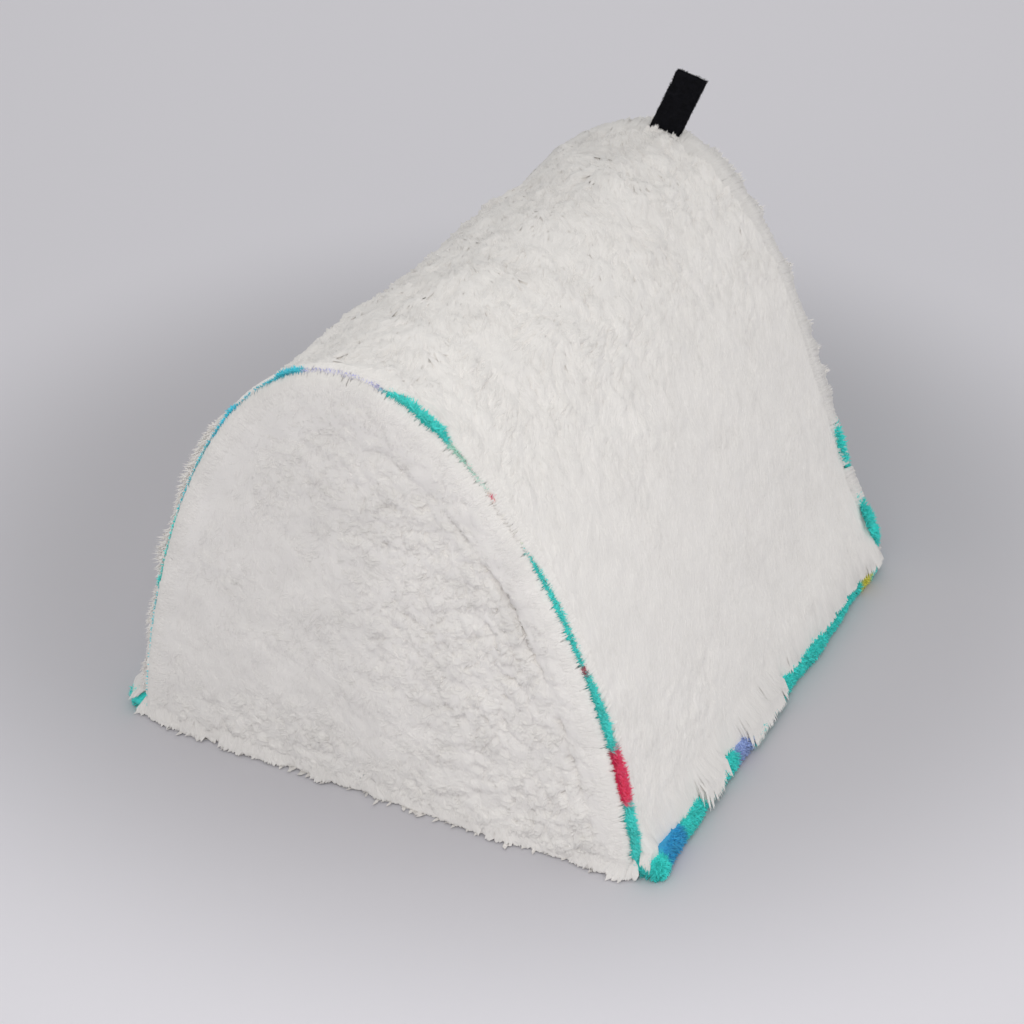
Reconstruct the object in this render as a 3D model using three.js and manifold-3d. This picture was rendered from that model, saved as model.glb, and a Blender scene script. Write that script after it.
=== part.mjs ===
// A small pet sleeping bag: a tunnel of long white plush with an arched roof and a square floor,
// closed at one end by a D-shaped panel and open at the other. Each panel is two layers, white
// plush outside and a printed teal plush lining inside, and the lining's edge shows in the seams.
// Millimetres. +X runs across, +Y from the closed end to the mouth, +Z up.

import * as THREE from 'three';
import Module from 'manifold-3d';
import { mergeVertices } from 'three/addons/utils/BufferGeometryUtils.js';

// Driving dimensions
const seamWidth = 240; // between the two feet of the arch seam
const seamHeight = 205.4; // from the floor to the top of the arch seam
const bagLength = 262; // from the arch seam to the mouth
const floorWidth = 262;
const plushThickness = 7; // white cloth with its pile
const liningThickness = 4.5;
const pileRise = 4; // how far the roof's pile stands outside the seam
const clearance = 0.3; // between one piece and the next

// How the roof leans, sinks in and spreads
const flankPower = 1.05; // 1 is an ellipse, more draws the flanks in
const crownPower = 1.19; // 1 is an ellipse, more sharpens the ridge
const closedLean = -10; // the ridge's offset at the closed end
const closedLeanPower = 1.6;
const mouthLean = 5;
const mouthLeanPower = 6;
const closedPinch = 3; // how far the flanks draw in at the closed end
const mouthPinch = 9; // and at the mouth
const seamFlare = 3.5; // how far the feet spread just behind the arch seam
const seamFlareReach = 9;
const mouthFlare = 13; // how far the feet spread at the mouth
const flareHeight = 40;
const footTuck = 8; // how far the spread feet turn back in at the floor
const tuckHeight = 12;
const ridgeSink = 5.2; // how far the ridge sinks behind the arch seam
const sinkReach = 19;
const mouthLift = 1.25; // share of that sink that it has regained at the mouth

// The floor panel
const floorUnderside = 4.3; // thickness of the white cloth under the floor
const floorTop = 9.2;
const floorCrown = 2; // how far the lining rises in the middle of the floor
const floorCorner = 9;
const cornerPokes = { right: 5, left: 3 }; // the lining's corners beside the closed end
const pokeReach = 6;

// The tape tab at the top of the mouth
const tabWidth = 14.5;
const tabHeight = 37.3; // from its sewn end to its fold
const tabLean = THREE.MathUtils.degToRad(22.5);
const tabSlope = THREE.MathUtils.degToRad(-12.5);
const tapeThickness = 1.2;
const tapeGap = 0.4;
const tabFoot = { x: 8.8, z: 204.4 }; // the middle of its sewn end, in the roof's rim

// Fineness of the faceted surfaces
const archSteps = 48;
const roofStations = 20;
const stationEasing = 1.5; // above 1, the stations crowd towards the arch seam
const floorSideSteps = 11;
const floorCornerSteps = 3;

const clumpHeight = 1.1; // how much the pile's clumps raise and sink the white faces
const foldSteps = 6;

const half = clearance / 2;
const plushInside = pileRise - plushThickness;
const liningOutside = plushInside - clearance;
const liningInside = liningOutside - liningThickness;
const edgeThickness = 2.3; // of the lining where it turns out into the arch seam
const rimThickness = 2.6; // and where it turns out at the mouth
const tabThickness = 2 * tapeThickness + tapeGap;
const tabFace = bagLength - rimThickness - clearance - tabThickness;
const archRun = 520; // length of the arch seam, for the pile's unevenness

const footLevel = floorTop + clearance;
const footAngle = Math.asin((footLevel / seamHeight) ** (1 / crownPower));

function bell(distance, reach) {
  return Math.exp(-((distance / reach) ** 2));
}

// Rises from 0 at the arch seam towards 1 further back.
function settled(y, reach) {
  return 1 - Math.exp(-Math.max(y, 0) / reach);
}

// The arch seam's curve as it would run at any length of the bag, in X and Z.
// The angle goes from 0 at the right foot to PI at the left foot.
function archPoint(angle, y) {
  const along = THREE.MathUtils.clamp(y / bagLength, 0, 1);
  const side = Math.cos(angle);
  const rise = Math.max(Math.sin(angle), 0) ** crownPower;
  const z = rise * seamHeight;
  const pinch = THREE.MathUtils.lerp(closedPinch, mouthPinch, along ** 2) * 4 * rise * (1 - rise);
  const mouthSpread = mouthFlare * bell(z, flareHeight) - footTuck * bell(z, tuckHeight);
  const seamSpread = seamFlare * settled(y, seamFlareReach) * bell(z, flareHeight);
  const spread = seamSpread * (1 - along) + mouthSpread * along ** 1.5 - pinch;
  const closedShift = closedLean * (1 - along) * rise ** closedLeanPower;
  const mouthShift = mouthLean * along * rise ** mouthLeanPower;
  const sink = ridgeSink * settled(y, sinkReach) * (1 - mouthLift * along ** 2);
  const halfWidth = (Math.abs(side) ** flankPower * seamWidth) / 2 + spread;
  return new THREE.Vector2(
    Math.sign(side) * halfWidth + closedShift + mouthShift,
    z - sink * rise ** 2,
  );
}

// A point that stands `out` outside the arch seam's curve, square to it.
function skinPoint(angle, y, out) {
  const step = 0.01;
  const before = archPoint(Math.max(angle - step, 0), y);
  const after = archPoint(Math.min(angle + step, Math.PI), y);
  const tangent = after.sub(before).normalize();
  const point = archPoint(angle, y);
  return new THREE.Vector3(point.x + tangent.y * out, y, point.y - tangent.x * out);
}

// The pile's clumps, from -1 to 1, over two lengths in millimetres.
function clumps(a, b) {
  const wide = Math.sin(a / 3.3 + 1.9 * Math.sin(b / 7.7));
  const long = Math.sin(b / 3.9 + 1.6 * Math.sin(a / 9.1));
  const slow = Math.sin(a / 17 + b / 23);
  return 0.55 * wide * long + 0.45 * slow;
}

// One closed body from its points and faces, with the faces turned outwards.
function body(points, faces) {
  const positions = new Float32Array(points.flatMap((point) => point.toArray()));
  let volume = 0;
  for (const [a, b, c] of faces) {
    volume += points[a].dot(points[b].clone().cross(points[c]));
  }
  const turned = volume > 0 ? faces : faces.map(([a, b, c]) => [a, c, b]);
  const geometry = new THREE.BufferGeometry();
  geometry.setAttribute('position', new THREE.BufferAttribute(positions, 3));
  geometry.setIndex(turned.flat());
  geometry.computeVertexNormals();
  return geometry;
}

function quad(faces, a, b, c, d) {
  faces.push([a, b, c], [a, c, d]);
}

// A strip of cloth. Each column is a loop of points, up one face of the cloth and back down the
// other, with as many points on each, and the strip runs from the first column to the last.
function strip(columns) {
  const points = columns.flat();
  const faces = [];
  const size = columns[0].length;
  for (let column = 0; column < columns.length - 1; column++) {
    for (let row = 0; row < size; row++) {
      const next = (row + 1) % size;
      const here = column * size;
      const there = here + size;
      quad(faces, here + row, there + row, there + next, here + next);
    }
  }
  const last = points.length - size;
  for (let row = 0; row < size / 2 - 1; row++) {
    const back = size - 1 - row;
    quad(faces, row, row + 1, back - 1, back);
    quad(faces, last + back, last + back - 1, last + row + 1, last + row);
  }
  return body(points, faces);
}

// A strip of cloth over the arch. Each station has its y and its height outside the seam curve
// on the cloth's two faces, and how much of the pile's clumps shows on the first.
function archedCloth(stations) {
  const loop = [
    ...stations.map(({ face, pile }) => ({ y: face[0], out: face[1], pile })),
    ...stations.map(({ back }) => ({ y: back[0], out: back[1], pile: 0 })).reverse(),
  ];
  const columns = [];
  for (let column = 0; column <= archSteps; column++) {
    const angle = footAngle + ((Math.PI - 2 * footAngle) * column) / archSteps;
    const points = loop.map(({ y, out, pile }) => {
      const lift = pile * clumps((angle / Math.PI) * archRun, y);
      return skinPoint(angle, y, out + lift);
    });
    if (column === 0 || column === archSteps) points.forEach((point) => point.setZ(footLevel));
    columns.push(points);
  }
  return strip(columns);
}

// A D-shaped cloth. Its flat back stands at y = joint, and its face bulges along `way`.
// Each row is a ring at a share of the way from the middle of the floor to the arch.
function dPanel({ joint, way, out, foot, rows }) {
  const points = [];
  const faces = [];
  const middle = archPoint(Math.PI / 2, 0).x / 2;
  for (const { share, depth, pile } of rows) {
    for (let column = 0; column <= archSteps; column++) {
      const start = Math.asin((foot / seamHeight) ** (1 / crownPower));
      const angle = start + ((Math.PI - 2 * start) * column) / archSteps;
      const rim = skinPoint(angle, 0, out);
      if (column === 0 || column === archSteps) rim.z = foot;
      const x = middle + (rim.x - middle) * share;
      const z = foot + (rim.z - foot) * share;
      const pressed = 1 - 0.35 * bell(z - foot, 5);
      const bulge = depth * pressed + pile * clumps(x + 40, z + 15);
      points.push(new THREE.Vector3(x, joint + way * bulge, z));
    }
  }
  const size = archSteps + 1;
  const lastRow = rows.length - 1;
  const front = points.length;
  const centreDepth = rows[lastRow].depth * 0.65;
  points.push(new THREE.Vector3(middle, joint + way * centreDepth, foot));
  for (let row = 0; row < lastRow; row++) {
    for (let column = 0; column < archSteps; column++) {
      const here = row * size + column;
      quad(faces, here, here + 1, here + size + 1, here + size);
    }
  }
  for (let column = 0; column < archSteps; column++) {
    const here = lastRow * size + column;
    faces.push([here, here + 1, front]);
  }
  // The underside runs from the right foot to the left one, with a back point for each front one
  const hem = rows.map((row, k) => k * size);
  hem.push(front, ...rows.map((row, k) => k * size + archSteps).reverse());
  const seam = hem.map((index, k) => {
    if (k === 0 || k === hem.length - 1) return index;
    points.push(points[index].clone().setY(joint));
    return points.length - 1;
  });
  for (let k = 0; k < hem.length - 1; k++) {
    if (k < hem.length - 2) faces.push([hem[k], hem[k + 1], seam[k + 1]]);
    if (k > 0) faces.push([hem[k], seam[k + 1], seam[k]]);
  }
  const centre = points.length;
  points.push(new THREE.Vector3(middle, joint, seamHeight / 3));
  const arch = Array.from({ length: archSteps - 1 }, (_, k) => archSteps - 1 - k);
  const loop = [...seam, ...arch];
  loop.forEach((index, k) => faces.push([centre, index, loop[(k + 1) % loop.length]]));
  return body(points, faces);
}

// The floor panel's outline, drawn in by `inset` on every side.
function floorOutline(inset) {
  const radius = Math.max(floorCorner - inset, 1.5);
  const edge = floorWidth / 2 - inset;
  const near = half + inset;
  const far = bagLength - inset;
  const corners = [
    { x: edge - radius, y: near + radius, from: -Math.PI / 2 },
    { x: edge - radius, y: far - radius, from: 0 },
    { x: radius - edge, y: far - radius, from: Math.PI / 2 },
    { x: radius - edge, y: near + radius, from: Math.PI },
  ];
  const outline = [];
  corners.forEach((corner, k) => {
    for (let step = 0; step <= floorCornerSteps; step++) {
      const turn = corner.from + ((Math.PI / 2) * step) / floorCornerSteps;
      const x = corner.x + radius * Math.cos(turn);
      const y = corner.y + radius * Math.sin(turn);
      outline.push(new THREE.Vector2(x, y));
    }
    const leave = outline.at(-1);
    const next = corners[(k + 1) % corners.length];
    const meet = new THREE.Vector2(
      next.x + radius * Math.cos(next.from),
      next.y + radius * Math.sin(next.from),
    );
    for (let step = 1; step < floorSideSteps; step++) {
      outline.push(leave.clone().lerp(meet, step / floorSideSteps));
    }
  });
  for (const point of outline) {
    const share = Math.max(1 - inset / 7, 0);
    const poke = (point.x > 0 ? cornerPokes.right : cornerPokes.left) * share;
    const waver = 0.7 * Math.sin(point.y / 13) + 0.4 * Math.sin(point.y / 5.3);
    const byEdge = Math.abs(point.x) > edge - radius;
    const reach = poke * bell(point.y - near, pokeReach) + (inset < floorCorner ? waver : 0);
    if (byEdge) point.x += Math.sign(point.x) * reach;
  }
  return outline;
}

// A floor layer, built of rings from the middle of its underside to the middle of its top.
function floorCloth(bottom, rings, top) {
  const points = [];
  const faces = [];
  const middle = bagLength / 2;
  for (const { z, inset } of rings) {
    points.push(...floorOutline(inset).map(({ x, y }) => new THREE.Vector3(x, y, z)));
  }
  const size = points.length / rings.length;
  const lowest = points.length;
  points.push(new THREE.Vector3(0, middle, bottom), new THREE.Vector3(0, middle, top));
  for (let k = 0; k < size; k++) {
    const next = (k + 1) % size;
    for (let ring = 0; ring < rings.length - 1; ring++) {
      const here = ring * size;
      quad(faces, here + k, here + next, here + size + next, here + size + k);
    }
    const last = (rings.length - 1) * size;
    faces.push([lowest, next, k], [last + k, last + next, lowest + 1]);
  }
  return body(points, faces);
}

// A prism across the leaning tab, from a loop of points given as thickness and height.
function acrossTab(loop, width) {
  const columns = [-width / 2, width / 2].map((across) =>
    loop.map(
      ({ x: thickness, y: height }) =>
        new THREE.Vector3(
          tabFoot.x + height * Math.sin(tabLean) + across * Math.cos(tabSlope),
          tabFace + thickness,
          tabFoot.z + height * Math.cos(tabLean) + across * Math.sin(tabSlope),
        ),
    ),
  );
  return strip(columns);
}

// The tape runs up, over its fold and down again, with its two layers pressed together.
function foldedTape() {
  const radius = tabThickness / 2;
  const rail = (inset) => {
    const points = [new THREE.Vector2(inset, 0)];
    for (let step = 0; step <= foldSteps; step++) {
      const turn = Math.PI - (Math.PI * step) / foldSteps;
      const x = radius + (radius - inset) * Math.cos(turn);
      const y = tabHeight - radius + (radius - inset) * Math.sin(turn);
      points.push(new THREE.Vector2(x, y));
    }
    points.push(new THREE.Vector2(tabThickness - inset, 0));
    return points;
  };
  return acrossTab([...rail(0), ...rail(tapeThickness).reverse()], tabWidth);
}

// The space that the roof's rim leaves for the tab, open towards the mouth.
function tabNotch() {
  const near = -clearance;
  const far = tabThickness + rimThickness;
  const low = -clearance;
  const high = tabHeight;
  const loop = [
    new THREE.Vector2(near, low),
    new THREE.Vector2(near, high),
    new THREE.Vector2(far, high),
    new THREE.Vector2(far, low),
  ];
  return acrossTab(loop, tabWidth + 2 * clearance);
}

const wasm = await Module();
wasm.setup();

function solid(geometry) {
  const bare = new THREE.BufferGeometry();
  bare.setAttribute('position', geometry.getAttribute('position'));
  bare.setIndex(geometry.getIndex());
  const merged = mergeVertices(bare);
  return new wasm.Manifold(
    new wasm.Mesh({
      numProp: 3,
      vertProperties: new Float32Array(merged.getAttribute('position').array),
      triVerts: new Uint32Array(merged.getIndex().array),
    }),
  );
}

function cutAway(geometry, cutter) {
  const mesh = solid(geometry).subtract(solid(cutter)).getMesh();
  const cut = new THREE.BufferGeometry();
  cut.setAttribute('position', new THREE.BufferAttribute(mesh.vertProperties, 3));
  cut.setIndex(new THREE.BufferAttribute(mesh.triVerts, 1));
  cut.computeVertexNormals();
  return cut;
}

// Where the roof's stations lie along the bag, from y = first to y = last.
function alongRoof(first, last, every) {
  const places = [];
  for (let step = 0; step <= roofStations; step += every) {
    places.push(first + (last - first) * (step / roofStations) ** stationEasing);
  }
  return places;
}

const roofStart = half + edgeThickness + clearance;
const roofEnd = bagLength - rimThickness - clearance;
const evenStart = roofStart + 7;
const evenEnd = roofEnd - 7;

// The white roof panel: its pile rises from the arch seam and rounds over again at the mouth.
function roofOuter() {
  const stations = [
    { face: [roofStart, -0.6], back: [roofStart, plushInside], pile: 0 },
    { face: [roofStart + 0.4, 2.2], back: [roofStart + 1.2, plushInside], pile: 0 },
    { face: [roofStart + 2.2, 4.2], back: [roofStart + 3.5, plushInside], pile: 0.3 },
  ];
  for (const y of alongRoof(evenStart, evenEnd, 1)) {
    stations.push({ face: [y, pileRise], back: [y, plushInside], pile: clumpHeight });
  }
  stations.push(
    { face: [roofEnd - 2.4, 3.9], back: [roofEnd - 3.5, plushInside], pile: 0.3 },
    { face: [roofEnd - 0.5, 2.9], back: [roofEnd - 1.2, plushInside], pile: 0 },
    { face: [roofEnd, 1.2], back: [roofEnd, plushInside], pile: 0 },
  );
  return cutAway(archedCloth(stations), tabNotch());
}

// The printed lining under it, which turns out into the arch seam and again at the mouth.
function roofLining() {
  const start = half;
  const edge = half + edgeThickness;
  const rim = bagLength - rimThickness;
  const stations = [
    { face: [edge - 0.6, 0.8], back: [start + 0.6, 0.8], pile: 0 },
    { face: [edge, 0], back: [start, 0], pile: 0 },
    { face: [edge, liningOutside], back: [start, liningInside], pile: 0 },
  ];
  for (const y of alongRoof(evenStart, evenEnd, 2)) {
    stations.push({ face: [y, liningOutside], back: [y, liningInside], pile: 0 });
  }
  stations.push(
    { face: [rim, liningOutside], back: [bagLength - 1.5, liningInside], pile: 0 },
    { face: [rim, -0.5], back: [bagLength, liningOutside], pile: 0 },
    { face: [rim, 0.8], back: [bagLength, 0.4], pile: 0 },
    { face: [rim + 0.7, 1.7], back: [bagLength - 0.6, 1.5], pile: 0 },
  );
  return archedCloth(stations);
}

// The closed end's white panel: a pressed rim, the topstitched crease, then the raised pile.
function backOuter() {
  const rows = [
    { share: 1, depth: 0, pile: 0 },
    { share: 0.993, depth: 1.3, pile: 0 },
    { share: 0.976, depth: 3.2, pile: 0 },
    { share: 0.952, depth: 4.4, pile: 0.1 },
    { share: 0.922, depth: 4.4, pile: 0.1 },
    { share: 0.895, depth: 3, pile: 0.1 },
    { share: 0.87, depth: 3.9, pile: 0.2 },
    { share: 0.83, depth: 5.6, pile: 0.8 },
    { share: 0.75, depth: 6.2, pile: clumpHeight },
    { share: 0.65, depth: 6.6, pile: clumpHeight },
    { share: 0.54, depth: 6.9, pile: clumpHeight },
    { share: 0.42, depth: 7.1, pile: 0.7 },
    { share: 0.29, depth: 7.1, pile: 0.5 },
    { share: 0.15, depth: 7, pile: 0.2 },
  ];
  return dPanel({ joint: -half, way: -1, out: -clearance, foot: clearance, rows });
}

// The printed lining behind it, inside the roof's lining.
function backLining() {
  const rows = [
    { share: 1, depth: 0, pile: 0 },
    { share: 0.995, depth: liningThickness * 0.7, pile: 0 },
    { share: 0.97, depth: liningThickness, pile: 0 },
    { share: 0.6, depth: liningThickness, pile: 0.4 },
    { share: 0.3, depth: liningThickness, pile: 0.4 },
  ];
  return dPanel({ joint: half, way: 1, out: liningInside - clearance, foot: footLevel, rows });
}

// The white cloth under the floor, flat where it rests.
function floorOuter() {
  const rings = [
    { z: 0, inset: 9.6 },
    { z: 1.2, inset: 7.8 },
    { z: 3, inset: 7.6 },
    { z: floorUnderside, inset: 9 },
  ];
  return floorCloth(0, rings, floorUnderside);
}

// The printed floor lining, whose rolled edge hangs over the white cloth's edge all round.
function floorLining() {
  const underside = floorUnderside + clearance;
  const rings = [
    { z: underside, inset: 8.2 },
    { z: underside - 1.4, inset: 7.3 },
    { z: 1, inset: 7.1 },
    { z: clearance, inset: 5.4 },
    { z: clearance, inset: 3.2 },
    { z: 1.4, inset: 1.1 },
    { z: 3.8, inset: 0.1 },
    { z: 6.4, inset: 0.2 },
    { z: 8.4, inset: 1.6 },
    { z: floorTop, inset: 4.2 },
    { z: floorTop, inset: 24 },
    { z: floorTop + floorCrown * 0.4, inset: 45 },
    { z: floorTop + floorCrown * 0.9, inset: 80 },
  ];
  return floorCloth(underside, rings, floorTop + floorCrown);
}

const whitePlush = { color: new THREE.Color(0.86, 0.84, 0.83), roughness: 0.95, metalness: 0 };
const tealPlush = { color: new THREE.Color(0.1, 0.62, 0.58), roughness: 0.95, metalness: 0 };
const blackTape = { color: new THREE.Color(0.01, 0.01, 0.013), roughness: 0.9, metalness: 0 };

const bag = new THREE.Group();

function addPiece(name, geometry, finish) {
  const mesh = new THREE.Mesh(geometry, new THREE.MeshStandardMaterial(finish));
  mesh.name = name;
  bag.add(mesh);
}

addPiece('roof_outer', roofOuter(), whitePlush);
addPiece('roof_lining', roofLining(), tealPlush);
addPiece('back_outer', backOuter(), whitePlush);
addPiece('back_lining', backLining(), tealPlush);
addPiece('floor_outer', floorOuter(), whitePlush);
addPiece('floor_lining', floorLining(), tealPlush);
addPiece('hang_tab', foldedTape(), blackTape);

// The origin is on the floor, under the middle of the whole bag
const reach = new THREE.Box3().setFromObject(bag);
const middle = reach.getCenter(new THREE.Vector3());
bag.position.set(-middle.x, -middle.y, -reach.min.z);

const object = new THREE.Group();
object.add(bag);

export default object;
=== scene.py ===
import math

import bpy
import numpy as np
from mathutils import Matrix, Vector


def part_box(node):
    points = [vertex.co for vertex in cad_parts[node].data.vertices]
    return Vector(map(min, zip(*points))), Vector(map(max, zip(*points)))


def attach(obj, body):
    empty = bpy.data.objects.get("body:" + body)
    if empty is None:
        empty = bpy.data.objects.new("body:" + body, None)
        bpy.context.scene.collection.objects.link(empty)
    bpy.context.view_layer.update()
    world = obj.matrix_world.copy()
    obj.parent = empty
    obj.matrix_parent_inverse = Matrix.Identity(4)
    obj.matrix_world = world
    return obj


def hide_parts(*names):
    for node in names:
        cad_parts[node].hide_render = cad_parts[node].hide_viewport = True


# The looks of a small pet sleeping bag: white plush outside, printed teal plush inside, and a
# black tape tab. Lengths are millimetres up to the moment that a mesh is made.
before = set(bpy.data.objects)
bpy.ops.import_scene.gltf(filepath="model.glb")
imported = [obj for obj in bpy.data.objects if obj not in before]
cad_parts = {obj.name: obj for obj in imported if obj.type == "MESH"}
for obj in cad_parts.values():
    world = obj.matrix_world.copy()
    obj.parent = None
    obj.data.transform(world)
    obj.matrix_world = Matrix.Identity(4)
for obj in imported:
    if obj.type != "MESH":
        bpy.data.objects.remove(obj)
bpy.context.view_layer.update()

# Camera
camera_data = bpy.data.cameras.new("camera")
camera_data.sensor_width = 36
camera_data.lens = 91.4
camera_data.clip_start = 0.05
camera_data.clip_end = 50
camera = bpy.data.objects.new("camera", camera_data)
bpy.context.scene.collection.objects.link(camera)
azimuth, pitch = math.radians(27.28), math.radians(33.2)
looking = Vector(
    (-math.sin(azimuth) * math.cos(pitch), math.cos(azimuth) * math.cos(pitch), -math.sin(pitch))
)
camera.location = (0.4519, -0.8804, 0.7189)
camera.rotation_mode = "QUATERNION"
camera.rotation_quaternion = looking.to_track_quat("-Z", "Y")
bpy.context.scene.camera = camera

# Driving dimensions
SEAM_WIDTH, SEAM_HEIGHT, BAG_LENGTH, FLOOR_WIDTH = 240, 205.4, 262, 262
FLANK_POWER, CROWN_POWER = 1.05, 1.19
FOOT_LEVEL = 9.5
ROOF_START, ROOF_END = 2.75, 259.1
PLUSH_INSIDE, LINING_OUTSIDE, LINING_INSIDE = -3.0, -3.3, -7.8
PILE_BASE = 2.1  # where the locks are rooted, outside the seam curve
TAB_FOOT, TAB_WIDTH, TAB_HEIGHT = (8.8, 204.4), 14.5, 37.3
TAB_LEAN, TAB_SLOPE = math.radians(22.5), math.radians(-12.5)
TAB_FACE = 256.3
PANEL_FOOT, PANEL_BACK = 0.3, -0.15
SEAM_SIDE, SEAM_TOP = 0.3, 1.4  # widths of print between which white pile gives way to it
GROUND = 0.4  # pile stays this far above the floor
LOW_GROUND = 0.3  # and the lowest tufts this far
ROOF_LOCK = 8.5  # size of the roof's clumps
ALONG = (0, 0.35, 0.72, 1)  # where a wisp's root, two sections and tip lie along it


# Where the seam curve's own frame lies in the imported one
def frame_shift():
    tab_left = TAB_FOOT[0] - TAB_WIDTH / 2 * math.cos(TAB_SLOPE)
    return np.array(
        [
            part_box("hang_tab")[0].x * 1000 - tab_left,
            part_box("back_outer")[1].y * 1000 + 0.15,
            0.0,
        ]
    )


SHIFT = frame_shift()


# Noise
HASH_X, HASH_Y, HASH_SEED = 374761393, 668265263, 974711
MIX_FIRST, MIX_SECOND, LOW_BITS = 1274126177, 2246822519, 0x7FFFFFFF


def hashed(ix, iy, seed):
    """A number from 0 to 1 for each cell of a grid."""
    h = ix.astype(np.int64) * HASH_X + iy.astype(np.int64) * HASH_Y + seed * HASH_SEED
    h = h & LOW_BITS
    h = ((h ^ (h >> 13)) * MIX_FIRST) & LOW_BITS
    h = ((h ^ (h >> 16)) * MIX_SECOND) & LOW_BITS
    return ((h ^ (h >> 15)) & 0xFFFFFF) / 0xFFFFFF


def draws(count, seed, columns=8):
    """Seeded random numbers from 0 to 1, a row for each thing."""
    return np.random.RandomState(seed).uniform(0, 1, (count, columns))


def noise(x, y, size, seed):
    """Smooth value noise from -1 to 1 with features of that size."""
    x, y = np.asarray(x) / size, np.asarray(y) / size
    ix, iy = np.floor(x), np.floor(y)
    fx, fy = x - ix, y - iy
    fx, fy = fx * fx * (3 - 2 * fx), fy * fy * (3 - 2 * fy)
    a, b = hashed(ix, iy, seed), hashed(ix + 1, iy, seed)
    c, d = hashed(ix, iy + 1, seed), hashed(ix + 1, iy + 1, seed)
    return 2 * ((a * (1 - fx) + b * fx) * (1 - fy) + (c * (1 - fx) + d * fx) * fy) - 1


def clumps(x, y, size, seed):
    """The nearest of a jittered grid of clump centres: where it is, how deep inside the clump
    the point lies (0 at its edge, about 1 in its middle), and a number of its own."""
    wx = x + 0.35 * size * noise(x, y, size * 1.7, seed + 50)
    wy = y + 0.35 * size * noise(x, y, size * 1.7, seed + 51)
    ix, iy = np.floor(wx / size), np.floor(wy / size)
    best = np.full(x.shape, 1e9)
    second = np.full(x.shape, 1e9)
    cx, cy, own = np.zeros(x.shape), np.zeros(x.shape), np.zeros(x.shape)
    for dx in (-1, 0, 1):
        for dy in (-1, 0, 1):
            jx, jy = ix + dx, iy + dy
            px = (jx + 0.1 + 0.8 * hashed(jx, jy, seed)) * size
            py = (jy + 0.1 + 0.8 * hashed(jx, jy, seed + 1)) * size
            d = np.hypot(wx - px, wy - py)
            near = d < best
            second = np.where(near, best, np.minimum(second, d))
            cx, cy = np.where(near, px, cx), np.where(near, py, cy)
            own = np.where(near, hashed(jx, jy, seed + 2), own)
            best = np.where(near, d, best)
    inside = np.clip((second - best) / (0.7 * size), 0, 1)
    return cx, cy, inside, own


def ramp(x, low, high):
    t = np.clip((np.asarray(x, float) - low) / (high - low), 0, 1)
    return t * t * (3 - 2 * t)


def bell(distance, reach):
    return np.exp(-((distance / reach) ** 2))


def spread_points(count, width, height, seed):
    """Points spread evenly over a rectangle, with a little scatter."""
    k = np.arange(count)
    scatter = np.random.RandomState(seed).uniform(-0.4, 0.4, (count, 2))
    step = math.sqrt(width * height / count)
    a = (0.5 + k * 0.7548776662466927) % 1 * width + scatter[:, 0] * step
    b = (0.5 + k * 0.5698402909980532) % 1 * height + scatter[:, 1] * step
    return np.clip(a, 0, width), np.clip(b, 0, height)


# The arch
def arch_point(angle, y):
    along = np.clip(y / BAG_LENGTH, 0, 1)
    side = np.cos(angle)
    rise = np.maximum(np.sin(angle), 0) ** CROWN_POWER
    z = rise * SEAM_HEIGHT
    pinch = (3 + 6 * along**2) * 4 * rise * (1 - rise)
    mouth_spread = 13 * bell(z, 40) - 8 * bell(z, 12)
    seam_spread = 3.5 * (1 - np.exp(-np.maximum(y, 0) / 9)) * bell(z, 40)
    spread = seam_spread * (1 - along) + mouth_spread * along**1.5 - pinch
    shift = -10 * (1 - along) * rise**1.6 + 5 * along * rise**6
    sink = 5.2 * (1 - np.exp(-np.maximum(y, 0) / 19)) * (1 - 1.25 * along**2)
    half_width = np.abs(side) ** FLANK_POWER * SEAM_WIDTH / 2 + spread
    return np.sign(side) * half_width + shift, z - sink * rise**2


def skin_point(angle, y, out):
    """A point that stands `out` outside the arch seam's curve, square to it."""
    x0, z0 = arch_point(np.maximum(angle - 0.01, 0), y)
    x1, z1 = arch_point(np.minimum(angle + 0.01, math.pi), y)
    length = np.hypot(x1 - x0, z1 - z0)
    x, z = arch_point(angle, y)
    return np.stack([x + (z1 - z0) / length * out, y + 0 * x, z - (x1 - x0) / length * out], -1)


FOOT_ANGLE = math.asin((FOOT_LEVEL / SEAM_HEIGHT) ** (1 / CROWN_POWER))
_angles = np.linspace(FOOT_ANGLE, math.pi - FOOT_ANGLE, 1200)
_x, _z = arch_point(_angles, np.full(1200, 130.0))
_runs = np.concatenate([[0], np.cumsum(np.hypot(np.diff(_x), np.diff(_z)))])
ARCH_RUN = float(_runs[-1])  # from the roof's right foot over the arch to its left one


def roof_point(s, y, out):
    """A point over the roof, from its run up from the right foot. Beyond a foot it hangs down."""
    angle = np.interp(s, _runs, _angles)
    hang = np.maximum(-s, 0) + np.maximum(s - ARCH_RUN, 0)
    point = skin_point(angle, np.clip(y, 0, BAG_LENGTH), out)
    point[..., 1] = y
    point[..., 2] -= hang
    return point


def slope_normal(surface, a, b, step=1.2):
    """The normal of a surface of two coordinates, over a small step each way."""
    along_a = surface(a + step, b) - surface(a - step, b)
    along_b = surface(a, b + step) - surface(a, b - step)
    normal = np.cross(along_b, along_a)
    return normal / (np.linalg.norm(normal, axis=-1, keepdims=True) + 1e-12)


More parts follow.
